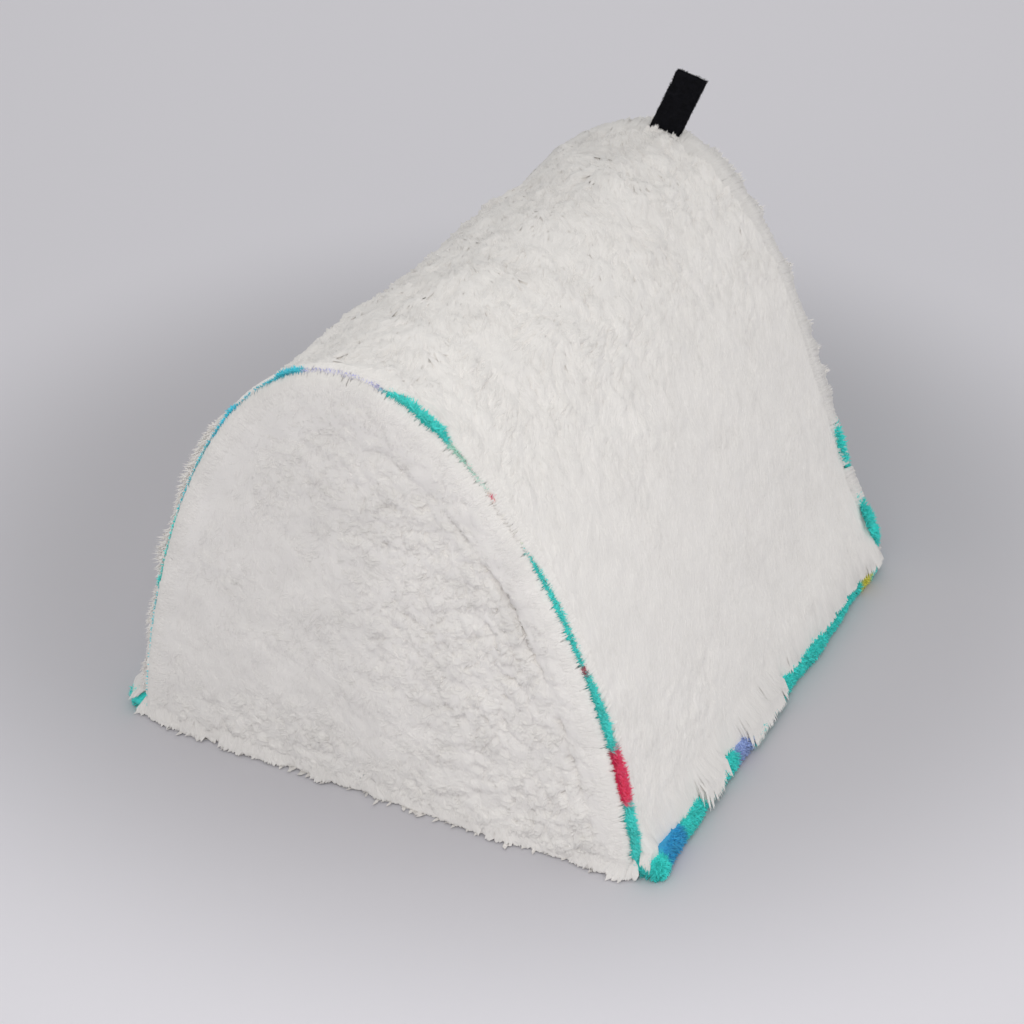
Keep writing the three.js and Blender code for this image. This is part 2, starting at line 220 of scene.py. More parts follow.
# Meshes
def corner_normals(points, faces, normals):
    """Each corner's shading normal: the cloth's, save on a face that looks away from it."""
    a, b, c = (points[faces[:, k]] for k in range(3))
    flat = np.cross(b - a, c - a)
    flat /= np.linalg.norm(flat, axis=1, keepdims=True) + 1e-15
    flat = np.repeat(flat, 3, axis=0)
    soft = normals[faces.ravel()]
    facing = (flat * soft).sum(1, keepdims=True)
    mixed = np.where(facing > 0.05, soft + 0.45 * flat, flat + 0.35 * soft)
    return mixed / np.linalg.norm(mixed, axis=1, keepdims=True)


def piece(name, points, face_groups, look, tint, normals=None, strand=None):
    """A mesh of the object, from points in millimetres in the seam curve's frame."""
    strand = np.asarray(points, float).reshape(-1, 3) if strand is None else strand
    mesh = bpy.data.meshes.new(name)
    points = (np.asarray(points, float).reshape(-1, 3) + SHIFT) / 1000
    mesh.vertices.add(len(points))
    mesh.vertices.foreach_set("co", points.astype(np.float32).ravel())
    groups = [np.asarray(g, np.int32) for g in face_groups if len(g)]
    loops = np.concatenate([g.ravel() for g in groups])
    totals = np.concatenate([np.full(len(g), g.shape[1], np.int32) for g in groups])
    starts = np.concatenate([[0], np.cumsum(totals)[:-1]]).astype(np.int32)
    mesh.loops.add(len(loops))
    mesh.loops.foreach_set("vertex_index", loops)
    mesh.polygons.add(len(totals))
    mesh.polygons.foreach_set("loop_start", starts)
    mesh.polygons.foreach_set("loop_total", totals)
    mesh.update(calc_edges=True)
    mesh.polygons.foreach_set("use_smooth", np.full(len(totals), True))
    if normals is not None:
        mesh.normals_split_custom_set(corner_normals(points, face_groups[0], normals))
    colours = np.ones((len(points), 4), np.float32)
    colours[:, :3] = tint
    layer = mesh.color_attributes.new("tint", "FLOAT_COLOR", "POINT")
    layer.data.foreach_set("color", colours.ravel())
    layer = mesh.attributes.new("strand", "FLOAT_VECTOR", "POINT")
    layer.data.foreach_set("vector", strand.astype(np.float32).ravel())
    made = bpy.data.objects.new(name, mesh)
    bpy.context.scene.collection.objects.link(made)
    made.data.materials.append(look)
    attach(made, "root")
    return made


def closed_strip(face, back):
    """A cloth from two grids of points with as many columns, its face and its back, closed
    round its rim. Each column runs from one edge of the cloth to the other."""
    columns = len(face)
    loop = np.concatenate([face, back[:, ::-1]], axis=1)
    size = loop.shape[1]
    points = loop.reshape(-1, 3)
    index = np.arange(columns * size).reshape(columns, size)
    here, there = index[:-1], index[1:]
    quads = np.stack([here, there, np.roll(there, -1, 1), np.roll(here, -1, 1)], -1).reshape(-1, 4)
    caps = [index[0][None, ::-1], index[-1][None]]
    return points, outward(points, [quads, *caps])


def closed_dish(face, depth):
    """A cloth from one grid of points, closed behind by its two ends at that depth."""
    face[:, 0, 1] = depth
    back = face[:, -1:].copy()
    back[:, :, 1] = depth
    return closed_strip(face, back)


def outward(points, groups):
    """The same faces, turned so that they face out of a closed mesh."""
    total = 0.0
    for g in groups:
        a = points[g[:, 0]]
        for k in range(1, g.shape[1] - 1):
            total += (a * np.cross(points[g[:, k]], points[g[:, k + 1]])).sum()
    return groups if total > 0 else [g[:, ::-1] for g in groups]


def locks(root, left, right, tip):
    """Small closed kites, each folded across its middle: a lock of pile from root to tip."""
    points = np.stack([root, left, right, tip], 1).reshape(-1, 3)
    k = np.arange(len(root))[:, None] * 4
    faces = np.concatenate([k + [0, 2, 1], k + [1, 2, 3], k + [0, 1, 3], k + [0, 3, 2]])
    return points, [faces]


def unit(vectors):
    return vectors / (np.linalg.norm(vectors, axis=-1, keepdims=True) + 1e-12)


WISP_FACES = np.array([
    [0, 3, 2], [0, 2, 1], [1, 2, 5], [1, 5, 4], [2, 3, 6], [2, 6, 5], [4, 5, 7], [5, 6, 7],
    [0, 1, 3], [1, 4, 6], [1, 6, 3], [4, 7, 6],
])


def wisps(centres, normals, half, top, edge, rounding, own):
    """Closed wisps of pile. Each runs from its root over two sections to its tip, lies on the
    cloth under it and is rounded across. Gives points, faces, shading normals and strand
    coordinates, which run across and along each wisp."""
    nothing = np.zeros(len(own))
    flow = unit(centres[2] - centres[1])
    side = unit(np.cross(flow, normals[1]))
    rounding = (rounding + nothing)[:, None]
    points, shading = [centres[0]], [normals[0] - 0.35 * rounding * flow]
    for k in (1, 2):
        wide, raised, sunk = ((size[k - 1] + nothing)[:, None] for size in (half, top, edge))
        low = centres[k] + normals[k] * sunk
        points += [low - side * wide, centres[k] + normals[k] * raised, low + side * wide]
        shading += [normals[k] - rounding * side, normals[k], normals[k] + rounding * side]
    points.append(centres[3])
    shading.append(normals[3] + 0.6 * rounding * flow)
    points = np.stack(points, 1).reshape(-1, 3)
    shading = unit(np.stack(shading, 1).reshape(-1, 3))
    faces = (np.arange(len(own))[:, None, None] * 8 + WISP_FACES).reshape(-1, 3)
    long = np.linalg.norm(centres[3] - centres[0], axis=1)
    across = np.stack([nothing, -half[0], nothing, half[0], -half[1], nothing, half[1], nothing], 1)
    along = long[:, None] * np.repeat(ALONG, (1, 3, 3, 1))
    strand = np.stack([across, along / 5, np.repeat(own[:, None] * 400, 8, 1)], -1).reshape(-1, 3)
    return points, outward(points, [faces]), shading, strand


FUZZ_HALF = 0.26
# Painted shade on a wisp's eight points, root, two sections and tip: darker at its root and edges,
# where wisps shade one another
WISP_PAINTED_SHADE = np.array([0.93, 0.965, 1.0, 0.965, 0.975, 1.0, 0.975, 1.0])


def wisp_piece(name, centres, normals, half, top, edge, rounding, own, shade=None, foot=(GROUND, 0, 0)):
    """A piece of white wisps, each with painted shade that makes it a little darker at its root and
    edges. `foot` gives the level under which none goes, and how far what would go under it is moved out
    and up."""
    points, groups, shading, strand = wisps(centres, normals, half, top, edge, rounding, own[:, 7])
    level, out, up = foot
    under = np.maximum(level - points[:, 2], 0)
    points[:, 1] -= out * under
    points[:, 2] = np.maximum(points[:, 2], level) + up * under
    # A random tone for each wisp, times the painted shade at its root and edges
    tint = WHITE * ((0.975 + 0.05 * own[:, 3:4]) * WISP_PAINTED_SHADE)[:, :, None]
    # The mottle and painted light of the cloth under the wisps, where given
    if shade is not None:
        tint = tint * shade[:, None, None]
    return piece(name, points, groups, white, tint.reshape(-1, 3), shading, strand)


def fuzz_piece(name, look, colours, root, normal, length, half, spread, own, level):
    """A piece of short pile that stands up from its roots, each lock turned its own way."""
    turn = 2 * math.pi * own[:, 0]
    pick = np.where(np.abs(normal[:, 2:3]) > 0.8, [[1.0, 0.0, 0.0]], [[0.0, 0.0, 1.0]])
    first = np.cross(normal, pick)
    first /= np.linalg.norm(first, axis=1, keepdims=True)
    second = np.cross(normal, first)
    aside = first * np.cos(turn)[:, None] + second * np.sin(turn)[:, None]
    wide = (spread * (0.3 + 0.7 * own[:, 1]))[:, None]
    way = normal * (1 - 0.5 * wide) + aside * wide
    way /= np.linalg.norm(way, axis=1, keepdims=True)
    tall = (length * (0.6 + 0.8 * own[:, 2]))[:, None]
    curl = first * np.cos(turn * 3 + 2)[:, None] + second * np.sin(turn * 3 + 2)[:, None]
    middle = root + way * tall * 0.55
    tip = root + way * tall + curl * tall * 0.3
    side = np.cross(way, curl)
    side /= np.linalg.norm(side, axis=1, keepdims=True) + 1e-9
    width = half * (0.7 + 0.6 * own[:, 3])[:, None]
    points, groups = locks(
        root - 0.3 * normal, middle + side * width, middle - side * width, tip + 0.1 * normal
    )
    points[:, 2] = np.maximum(points[:, 2], level)
    tint = np.repeat(colours, 4, axis=0)
    return piece(name, points, groups, look, tint, np.repeat(normal, 4, axis=0))


# Materials
def fill(tree, node, **inputs):
    """Gives each named input of a node a value, or links another node's output to it."""
    for name, value in inputs.items():
        socket = node.inputs[name.replace("_", " ")]
        if isinstance(value, bpy.types.NodeSocket):
            tree.links.new(value, socket)
        else:
            socket.default_value = value
    return node


def add_node(tree, kind, operation=None, **inputs):
    node = tree.nodes.new("ShaderNode" + kind)
    if operation:
        node.operation = operation
    return fill(tree, node, **inputs)


def own_attribute(tree, name, output):
    """A value that each point of the mesh carries."""
    node = tree.nodes.new("ShaderNodeAttribute")
    node.attribute_name = name
    return node.outputs[output]


def new_material(name, roughness, **sockets):
    material = bpy.data.materials.new(name)
    material.use_nodes = True
    tree = material.node_tree
    shader = fill(tree, tree.nodes["Principled BSDF"], Roughness=roughness, **sockets)
    return material, tree, shader


def tinted(tree, shader, place, scale, low, high):
    """The piece's own tint, made a little lighter and darker from place to place."""
    mottle = add_node(tree, "TexNoise", Scale=scale, Detail=3, Vector=place)
    levels = add_node(tree, "MapRange", Value=mottle.outputs["Fac"], From_Min=0.3, From_Max=0.7,
                      To_Min=low, To_Max=high)
    shaded = add_node(tree, "VectorMath", "SCALE", Vector=own_attribute(tree, "tint", "Color"),
                      Scale=levels.outputs["Result"])
    fill(tree, shader, Base_Color=shaded.outputs["Vector"])


def pile_bump(tree, shader, place, scale, strength, distance):
    grain = add_node(tree, "TexNoise", Scale=scale, Detail=6, Vector=place)
    bump = add_node(tree, "Bump", Strength=strength, Distance=distance,
                    Height=grain.outputs["Fac"])
    fill(tree, shader, Normal=bump.outputs["Normal"])


def cloth_material(name, scale, low, high, roughness, grain=None, **sockets):
    """Without a grain of its own, a cloth has fine hairs that run along each strand."""
    material, tree, shader = new_material(name, roughness, **sockets)
    place = tree.nodes.new("ShaderNodeTexCoord").outputs["Object"]
    tinted(tree, shader, place, scale, low, high)
    if grain is None:
        pile_bump(tree, shader, own_attribute(tree, "strand", "Vector"), 2.2, 0.5, 0.0003)
    else:
        pile_bump(tree, shader, place, grain, 0.6, 0.0006)
    return material


white = cloth_material(
    "white_pile", 55, 0.975, 1.025, 0.9, Sheen_Weight=0.3, Sheen_Roughness=0.6
)
teal = cloth_material(
    "printed_pile", 160, 0.82, 1.15, 0.9, grain=1300, Sheen_Weight=0.2, Sheen_Roughness=0.5
)
black = cloth_material("tape", 400, 0.7, 1.5, 0.9, grain=1500, Specular_IOR_Level=0.15)

WHITE = np.array([0.95, 0.92, 0.886])
TEAL = np.array([0.05, 0.76, 0.70])
CYAN = np.array([0.04, 0.55, 0.80])
BLUE = np.array([0.03, 0.30, 0.68])
PINK = np.array([0.95, 0.03, 0.13])
YELLOW = np.array([0.75, 0.72, 0.10])
LILAC = np.array([0.55, 0.55, 0.85])
PALE = np.array([0.80, 0.86, 0.66])
BLACK = np.array([0.004, 0.004, 0.006])


# The roof's white plush
def roof_curl(s, y):
    """How clumped the roof's pile is: strong over the ridge, weak on the lower right wall."""
    high = ramp(s, 95, 235) * (1 - 0.3 * ramp(s, 380, 470))
    patch = 0.22 * noise(s, y, 38, 11)
    return np.clip(0.22 + 0.85 * high + patch, 0.12, 1.15)


def roof_relief(s, y):
    warp_s, warp_y = s + 2.5 * noise(s, y, 9, 22), y + 2.5 * noise(s, y, 9, 23)
    _, _, inside, own = clumps(warp_s, warp_y, ROOF_LOCK, 21)
    _, _, wide, _ = clumps(warp_s, warp_y, 19, 25)
    curl = roof_curl(s, y)
    lumps = np.maximum((1.4 + 1.6 * own) * np.sqrt(inside) - 1.3 + 1.6 * (wide - 0.4), -1.0)
    ridge = ramp(s, 190, 240) * (1 - 0.4 * ramp(s, 330, 400))
    broad = (0.5 + 0.5 * curl) * noise(s, y, 34, 31) + (0.7 * curl + 0.9 * ridge) * noise(s, y, 13, 32)
    return curl * lumps * 0.95 + broad + 0.22 * noise(s, y, 8, 33)


def roof_profile(s, y):
    """The roof's pile rises from the arch seam and rounds over again at the mouth."""
    steep = 6.5 - 2.5 * ramp(s, 280, 360)
    near = np.sqrt(np.clip(1 - (1 - np.clip((y - ROOF_START) / steep, 0, 1)) ** 2, 0, 1))
    far = np.sqrt(np.clip(1 - (1 - np.clip((ROOF_END - y) / 5, 0, 1)) ** 2, 0, 1))
    fuller = 1.3 * ramp(s, 280, 360) * bell(y - 9, 8)
    return -0.8 + (PILE_BASE + 0.8 + fuller) * near - (PILE_BASE + 0.3) * (1 - far)


def roof_out(s, y):
    settle = ramp(y, ROOF_START, ROOF_START + 9) * ramp(ROOF_END - y, 0, 6)
    return roof_profile(s, y) + settle * roof_relief(s, y)


def roof_surface(s, y):
    return roof_point(s, y, roof_out(s, y))


def roof_mottle_and_painted_shade(s, y):
    """How light the roof's white is: softly mottled, and a little darker past the ridge, which is
    painted shade.
    """
    mottle = 1 + 0.02 * roof_curl(s, y) * (noise(s, y, 12, 44) + noise(s, y, 5, 45))
    # Painted shade: the white is darker past the ridge
    return mottle * (1 - 0.08 * ramp(s, 225, 268))


def roof_plush():
    columns, rows = 260, 130
    s = np.linspace(0, ARCH_RUN, columns)
    ends = 1 - np.cos(np.linspace(0, math.pi, rows))
    y = ROOF_START + (ROOF_END - ROOF_START) * (0.25 * ends / 2 + 0.75 * np.linspace(0, 1, rows))
    ss, yy = np.meshgrid(s, y, indexing="ij")
    face = roof_point(ss, yy, roof_out(ss, yy))
    back_y = np.linspace(ROOF_START, ROOF_END, 9)
    ss, yy = np.meshgrid(s, back_y, indexing="ij")
    back = roof_point(ss, yy, np.full(ss.shape, PLUSH_INSIDE))
    for grid in (face, back):
        grid[[0, -1], :, 2] = FOOT_LEVEL
    points, groups = closed_strip(face, back)
    run = np.repeat(s, len(points) // columns)
    # The roof's mottle, and painted shade past the ridge
    tint = WHITE * (0.98 * roof_mottle_and_painted_shade(run, points[:, 1]))[:, None]
    return piece("roof_plush", points, groups, white, tint)


def roof_wisps(name, first, last, count, seed):
    """The roof's pile between two runs, lying down the slope and towards the closed end."""
    width, length = last - first, ROOF_END - ROOF_START
    s, y = spread_points(count, width, length, seed)
    s, y = s + first, y + ROOF_START
    own = draws(count, seed + 1)
    curl = roof_curl(s, y)
    # The way the pile lies, in the roof's own two directions
    turn = np.interp(s, [0, 120, 254, 400, ARCH_RUN], [-0.95, -0.85, -0.5, 0.35, 0.9])
    lean = np.interp(s, [0, 120, 254, 400, ARCH_RUN], [-0.25, -0.45, -0.85, -0.9, -0.45])
    sway = 0.9 * curl * noise(s, y, 14, 41) + (0.35 + 0.4 * curl) * (own[:, 0] - 0.5)
    flow_s = turn * np.cos(sway) - lean * np.sin(sway)
    flow_y = turn * np.sin(sway) + lean * np.cos(sway)
    near_seam = 1 - ramp(y, ROOF_START, ROOF_START + 9)
    flow_y = flow_y * (1 - near_seam) + 0.05 * near_seam
    reach = (7.0 + 5.0 * curl) * (0.7 + 0.6 * own[:, 1]) * (1 - 0.4 * near_seam)
    bend = 0.5 * curl * (own[:, 6] - 0.5) * reach
    centres, normals = [], []
    tip_up = 0.4 * curl * own[:, 5] ** 2 - 0.45
    cx, cy, _, _ = clumps(s, y, ROOF_LOCK, 21)
    gather = 0.5 * np.clip(curl - 0.2, 0, 1) * (1 - near_seam)
    aside = (cx - s) * -flow_y + (cy - y) * flow_s
    for along, sideways, up in ((0, 0, -0.5), (0.35, 0.1, 0), (0.72, 0.45, 0), (1, 1, tip_up)):
        off = bend * sideways + aside * gather * along
        at_s = s + flow_s * reach * along - flow_y * off
        at_y = np.clip(y + flow_y * reach * along + flow_s * off, 0.3, ROOF_END + 2)
        centres.append(roof_point(at_s, at_y, roof_out(at_s, at_y) + up))
        normals.append(slope_normal(roof_surface, at_s, at_y))
    half = (0.75 + 0.65 * curl) * (0.7 + 0.6 * own[:, 2])
    full = np.clip(0.7 + 1.0 * noise(s, y, 9, 43), 0.1, 1.7) * curl
    top = (0.22 + 0.8 * full * (0.3 + own[:, 3]), 0.18 + 1.3 * full * (0.2 + own[:, 4]))
    # The wisps take the roof's mottle and its painted shade past the ridge
    return wisp_piece(name, centres, normals, (half, half * 0.85), top, (-0.4, -0.45),
                      0.12 + 0.4 * curl, own, roof_mottle_and_painted_shade(s, y))


# The closed end
PANEL_MIDDLE = float(arch_point(np.array(math.pi / 2), np.array(0.0))[0]) / 2


def panel_rim():
    """How far the panel reaches from the middle of its foot, for each direction."""
    start = math.asin((PANEL_FOOT / SEAM_HEIGHT) ** (1 / CROWN_POWER))
    angle = np.linspace(start, math.pi - start, 1500)
    rim = skin_point(angle, np.zeros(1500), np.full(1500, -0.3))
    rim[[0, -1], 2] = PANEL_FOOT
    dx, dz = rim[:, 0] - PANEL_MIDDLE, rim[:, 2] - PANEL_FOOT
    return np.arctan2(dz, dx), np.hypot(dx, dz)


RIM_TURN, RIM_REACH = panel_rim()


def panel_share(x, z):
    dx, dz = x - PANEL_MIDDLE, z - PANEL_FOOT
    turn = np.arctan2(np.maximum(dz, 0), dx)
    return np.hypot(dx, dz) / np.interp(turn, RIM_TURN, RIM_REACH)


SHARES = [0, 0.15, 0.29, 0.42, 0.54, 0.65, 0.75, 0.83, 0.87, 0.9, 0.93, 0.95, 0.975, 0.99, 1]
DEPTHS = [5.6, 5.6, 5.6, 5.6, 5.4, 5.1, 4.8, 4.3, 3.8, 3.7, 3.8, 3.6, 2.8, 1.6, 0.0]


def panel_crease(x, z, share):
    """How deep the topstitched crease is: strongest on the right, and broken by the pile."""
    side = 0.15 + 0.85 * ramp(x, 15, 60) * ramp(z, 12, 40)
    broken = np.clip(0.75 + 0.9 * noise(x, z, 7, 63), 0.1, 1.3)
    return 1.6 * side * broken * bell(share - 0.875 - 0.006 * noise(x, z, 15, 64), 0.011)


def panel_curl(x, z):
    """How clumped the panel's pile is: curly on its right and low down, smooth on its left."""
    right = ramp(x + 0.35 * (z - 100), -50, 40)
    low = ramp(60 - z, 0, 50) * 0.5
    inner = 1 - 0.35 * ramp(panel_share(x, z), 0.84, 0.92)
    patch = 0.22 * noise(x, z, 24, 61)
    return np.clip((0.36 + 0.6 * np.maximum(right, low) + patch) * inner, 0.12, 1.1)


def panel_relief(x, z):
    warp_x, warp_z = x + 300 + 2.2 * noise(x, z, 7, 72), z + 3.0 * noise(x, z, 8, 73)
    _, _, inside, own = clumps(warp_x, warp_z * 0.75, 6.0, 71)
    _, _, wide, _ = clumps(warp_x, warp_z, 15, 75)
    curl = panel_curl(x, z)
    pits = -1.5 * ramp(noise(x, z, 4.5, 83), 0.45, 0.85) * ramp(curl, 0.4, 0.8)
    lumps = np.maximum((0.9 + 1.1 * own) * np.sqrt(inside) - 0.9 + 1.2 * (wide - 0.4), -0.9) + pits
    return curl * lumps + 0.6 * noise(x, z, 30, 81) + 0.3 * noise(x, z, 7, 82)


def panel_point(x, z, extra):
    share = panel_share(x, z)
    depth = np.interp(share, SHARES, DEPTHS) * (1 - 0.35 * bell(z - PANEL_FOOT, 5))
    settle = 1 - ramp(share, 0.93, 1.0)
    depth = depth + settle * panel_relief(x, z) - 2.2 * panel_crease(x, z, share) + extra
    return np.stack([x + 0 * depth, PANEL_BACK - depth, z + 0 * depth], -1)


def panel_mottle_and_painted_light(x, z):
    """How light the panel's white is: softly mottled, with painted shade that makes its left a little
    darker and a painted highlight that makes its raised rim band a little lighter.
    """
    mottle = 1 + 0.03 * noise(x, z, 11, 93) + 0.02 * noise(x, z, 4, 94)
    # Painted highlight on the raised rim band
    rim = 0.02 * ramp(panel_share(x, z), 0.87, 0.94)
    # Painted shade: the left side is a little darker
    return (0.972 + rim - 0.052 * ramp(35 - x, 0, 50)) * mottle


def panel_plush():
    columns, rings = 230, 95
    rim = RIM_REACH * np.stack([np.cos(RIM_TURN), np.sin(RIM_TURN)])
    steps = np.hypot(*np.diff(rim, axis=1))
    run = np.concatenate([[0], np.cumsum(steps)]) / steps.sum()
    turns = np.interp(np.linspace(0, 1, columns), run, RIM_TURN)
    shares = 1 - 0.94 * np.linspace(0, 1, rings) ** 1.15
    tt, hh = np.meshgrid(turns, shares, indexing="ij")
    reach = np.interp(tt, RIM_TURN, RIM_REACH) * hh
    x, z = PANEL_MIDDLE + reach * np.cos(tt), PANEL_FOOT + reach * np.sin(tt)
    points, groups = closed_dish(panel_surface(x, z), PANEL_BACK)
    # The panel's mottle, painted shade on its left and a painted highlight on its rim
    tint = WHITE * (0.98 * panel_mottle_and_painted_light(points[:, 0], points[:, 2]))[:, None]
    return piece("panel_plush", points, groups, white, tint)


def panel_surface(x, z):
    return panel_point(x, z, 0.0)


def panel_wisps(count, seed):
    """The panel's pile: long and flat on its left, short and curly on its right."""
    x, z = spread_points(count, SEAM_WIDTH + 12, SEAM_HEIGHT + 8, seed)
    x = x - SEAM_WIDTH / 2 - 6
    share = panel_share(x, z)
    keep = (share < 0.99) & (z > 0.6)
    x, z, share = x[keep], z[keep], share[keep]
    count = len(x)
    own = draws(count, seed + 1)
    curl = panel_curl(x, z)
    rim = ramp(share, 0.885, 0.93)
    turn = math.pi * (-0.5 + 0.7 * curl * noise(x, z, 6, 91)) + (0.6 + 3.4 * curl) * (own[:, 0] - 0.5)
    outward_turn = np.arctan2(z - PANEL_FOOT - 40, x - PANEL_MIDDLE) + 1.6 * (own[:, 0] - 0.5)
    flow_x = np.cos(turn) * (1 - rim) + np.cos(outward_turn) * rim
    flow_z = np.sin(turn) * (1 - rim) + np.sin(outward_turn) * rim
    reach = (6.6 - 1.4 * curl) * (0.7 + 0.6 * own[:, 1]) * (1 - 0.3 * rim)
    reach = np.where(share > 0.9, np.minimum(reach, (1.0 - share) * 105 + 0.6), reach)
    bend = 0.7 * curl * (own[:, 6] - 0.5) * reach
    centres, normals = [], []
    tip_up = 0.5 * curl * own[:, 5] - 0.3
    for along, sideways, up in ((0, 0, -0.5), (0.35, 0.1, 0), (0.72, 0.45, 0), (1, 1, tip_up)):
        at_x = x + flow_x * reach * along - flow_z * bend * sideways
        at_z = z + flow_z * reach * along + flow_x * bend * sideways
        centres.append(panel_point(at_x, at_z, up))
        normals.append(-slope_normal(panel_surface, at_x, at_z))
    half = (0.7 + 0.3 * curl) * (0.7 + 0.6 * own[:, 2])
    full = np.clip(0.8 + 1.0 * noise(x, z, 7, 92), 0.1, 1.8) * curl
    top = (0.2 + 0.8 * full * (0.3 + own[:, 3]), 0.16 + 1.1 * full * (0.2 + own[:, 4]))
    # The wisps take the panel's mottle and painted light
    return wisp_piece("panel_pile", centres, normals, (half, half * 0.85), top, (-0.4, -0.45),
                      0.08 + 0.32 * curl, own, panel_mottle_and_painted_light(x, z), (GROUND, 0.8, 0.1))


# The print
def printed(at, patches):
    """The print's colour at some places along an edge: teal, with soft-ended patches."""
    colour = np.tile(TEAL, (len(at), 1))
    for first, last, tone in patches:
        inside = ramp(at, first - 1.5, first + 1.5) * (1 - ramp(at, last - 1.5, last + 1.5))
        colour = colour * (1 - inside[:, None]) + tone * inside[:, None]
    return colour


# The coloured arch seam
_seam_angles = np.linspace(0.02, math.pi - 0.02, 1500)
_rim = skin_point(_seam_angles, np.full(1500, 1.3), np.zeros(1500))
_seam_runs = np.concatenate([[0], np.cumsum(np.linalg.norm(np.diff(_rim, axis=0), axis=1))])
SEAM_RUN = float(_seam_runs[-1])

# Along the seam from its right foot: the print's colour, and how far its pile shows
SEAM_PRINT = [
    (35, 61, PINK), (97, 101, PINK * 0.5), (157, 184, PALE), (184, 207, TEAL * 0.4 + PALE * 0.5),
    (178, 182, PINK), (240, 277, LILAC),
    (277, 300, CYAN * 0.6 + TEAL * 0.4), (300, 345, CYAN * 0.7 + TEAL * 0.3),
    (345, 385, CYAN * 0.5 + TEAL * 0.5),
    (431, 506, CYAN * 0.4 + TEAL * 0.6),
]
SEAM_SHOWS = [0, 8, 14, 34, 37, 50, 61, 64, 72, 92, 100, 106, 130, 150, 160, 176, 180, 186, 200,
              208, 214, 228, 236, 244, 274, 279, 287, 292, 302, 317, 321, 326, 345, 372, 400, 424,
              428, 432, 460, 506]
SEAM_WIDTHS = [1.6, 2.4, 3.2, 3.0, 3.6, 4.4, 3.4, 2.2, 3.0, 2.2, 1.5, 1.6, 1.9, 1.4, 0.2, 0.0, 0.9,
               0.7, 1.3, 1.7, 3.2, 3.4, 1.8, 0.6, 0.7, 2.6, 2.8, 1.2, 0.7, 0.9, 2.6, 1.6, 1.1, 1.0,
               1.2, 1.2, 2.2, 0.9, 0.7, 0.8]


def seam_shows(run):
    return np.interp(run, SEAM_SHOWS, SEAM_WIDTHS)


def seam_run(s):
    """The run along the seam that lies beside a run over the roof."""
    return np.interp(np.interp(s, _runs, _angles), _seam_angles, _seam_runs)


def hidden(shows):
    """1 where the arch seam's print is hidden under white pile, 0 where it shows."""
    return 1 - ramp(shows, SEAM_SIDE, SEAM_TOP)


def lip_height(shows):
    """How high the lining's edge stands in the arch seam: it fills the seam where it is hidden."""
    return np.clip(0.5 + 0.4 * shows, 0.5, 1.7) + 0.9 * hidden(shows)


def seam_fuzz(count, seed):
    own = draws(count, seed, 6)
    run = own[:, 4] * SEAM_RUN
    shows = seam_shows(run)
    kept = own[:, 5] < shows / 2.6 - 0.08
    own, run, shows = own[kept], run[kept], shows[kept]
    angle = np.interp(run, _seam_runs, _seam_angles)
    y = -0.1 + 2.8 * own[:, 3]
    level = lip_height(shows) - 0.3
    root = skin_point(angle, y, level)
    normal = skin_point(angle, y, level + 1) - root
    colours = np.minimum(printed(run, SEAM_PRINT) * (0.9 + 0.3 * own[:, 2:3]) + 0.04, 0.97)
    return fuzz_piece("seam_fuzz", teal, colours, root, normal, 0.7 + 0.6 * shows, FUZZ_HALF, 0.9,
                      own, GROUND)


# White pile over the edges
def out_normal(s, y):
    return roof_point(s, y, np.ones(s.shape)) - roof_point(s, y, np.zeros(s.shape))


def folded_wisps(name, s, ys, outs, fold, half, own, drift=0.0, turned=(0.0, 0.25, 0.55, 0.85)):
    """Wisps that run over the roof's pile and fold over one of its edges."""
    centres, normals = [], []
    for k, share in enumerate(turned):
        at = s + drift * ALONG[k]
        centres.append(roof_point(at, ys[k], outs[k]))
        normals.append(unit(out_normal(at, ys[k]) * (1 - share) + np.array(fold) * share))
    return wisp_piece(name, centres, normals, (half, half * 0.8), (0.45, 0.45 * 0.9),
                      (-0.45, -0.45), 0.4, own)


def seam_cover(count, seed):
    """White pile combed over the arch seam, wherever the print hardly shows."""
    own = draws(count, seed)
    s = own[:, 0] * ARCH_RUN
    shows = seam_shows(seam_run(s))
    kept = own[:, 1] > (shows / 2.8) ** 2
    own, s, shows = own[kept], s[kept], shows[kept]
    end = -1.3 + 1.2 * shows + 0.9 * own[:, 4] * (0.4 + 0.4 * shows)
    end = end + hidden(shows) * (2.2 * own[:, 4] - 0.3)
    ys = (end + 8 + 2 * own[:, 3], end + 5.2 + own[:, 3], end + 2.6, end)
    outs = (1.0 + 0 * s, 2.2 + 0.5 * own[:, 5], 2.2 + 0.7 * own[:, 5],
            1.2 + 0.8 * own[:, 6] - 1.4 * hidden(shows))
    half = 0.8 + 0.6 * own[:, 2]
    return folded_wisps("seam_cover", s, ys, outs, (0, -1, 0), half, own, 3 * own[:, 2] - 2.2)


MOUTH_SHOWS = ([0, 6, 10, 26, 30, 42, 46, 68, 76, 506], [0.5, 0.9, 1, 1, 0.4, 0.4, 0.95, 0.7, 0, 0])


def mouth_cover(count, seed):
    """White pile over the mouth's rim, all but low down on the right."""
    own = draws(count, seed)
    s = own[:, 0] * ARCH_RUN
    kept = own[:, 1] > np.interp(s, *MOUTH_SHOWS)
    own, s = own[kept], s[kept]
    tuft = np.clip(0.5 + 0.9 * noise(s, s * 0, 6, 491), 0, 1.4)
    ys = (251 + 3 * own[:, 3], 256 + own[:, 3], 260.4 + own[:, 4], 262.2 + 2.6 * own[:, 4] * tuft)
    outs = (-1.0 + 0 * s, 2.5 + 0.5 * own[:, 5], 2.9 + 1.4 * own[:, 5] + 0.8 * tuft,
            1.8 + 4.2 * own[:, 6] * tuft)
    half = 0.9 + 0.6 * own[:, 2]
    return folded_wisps("mouth_cover", s, ys, outs, (0, 1, 0), half, own, -3.5 * own[:, 2])


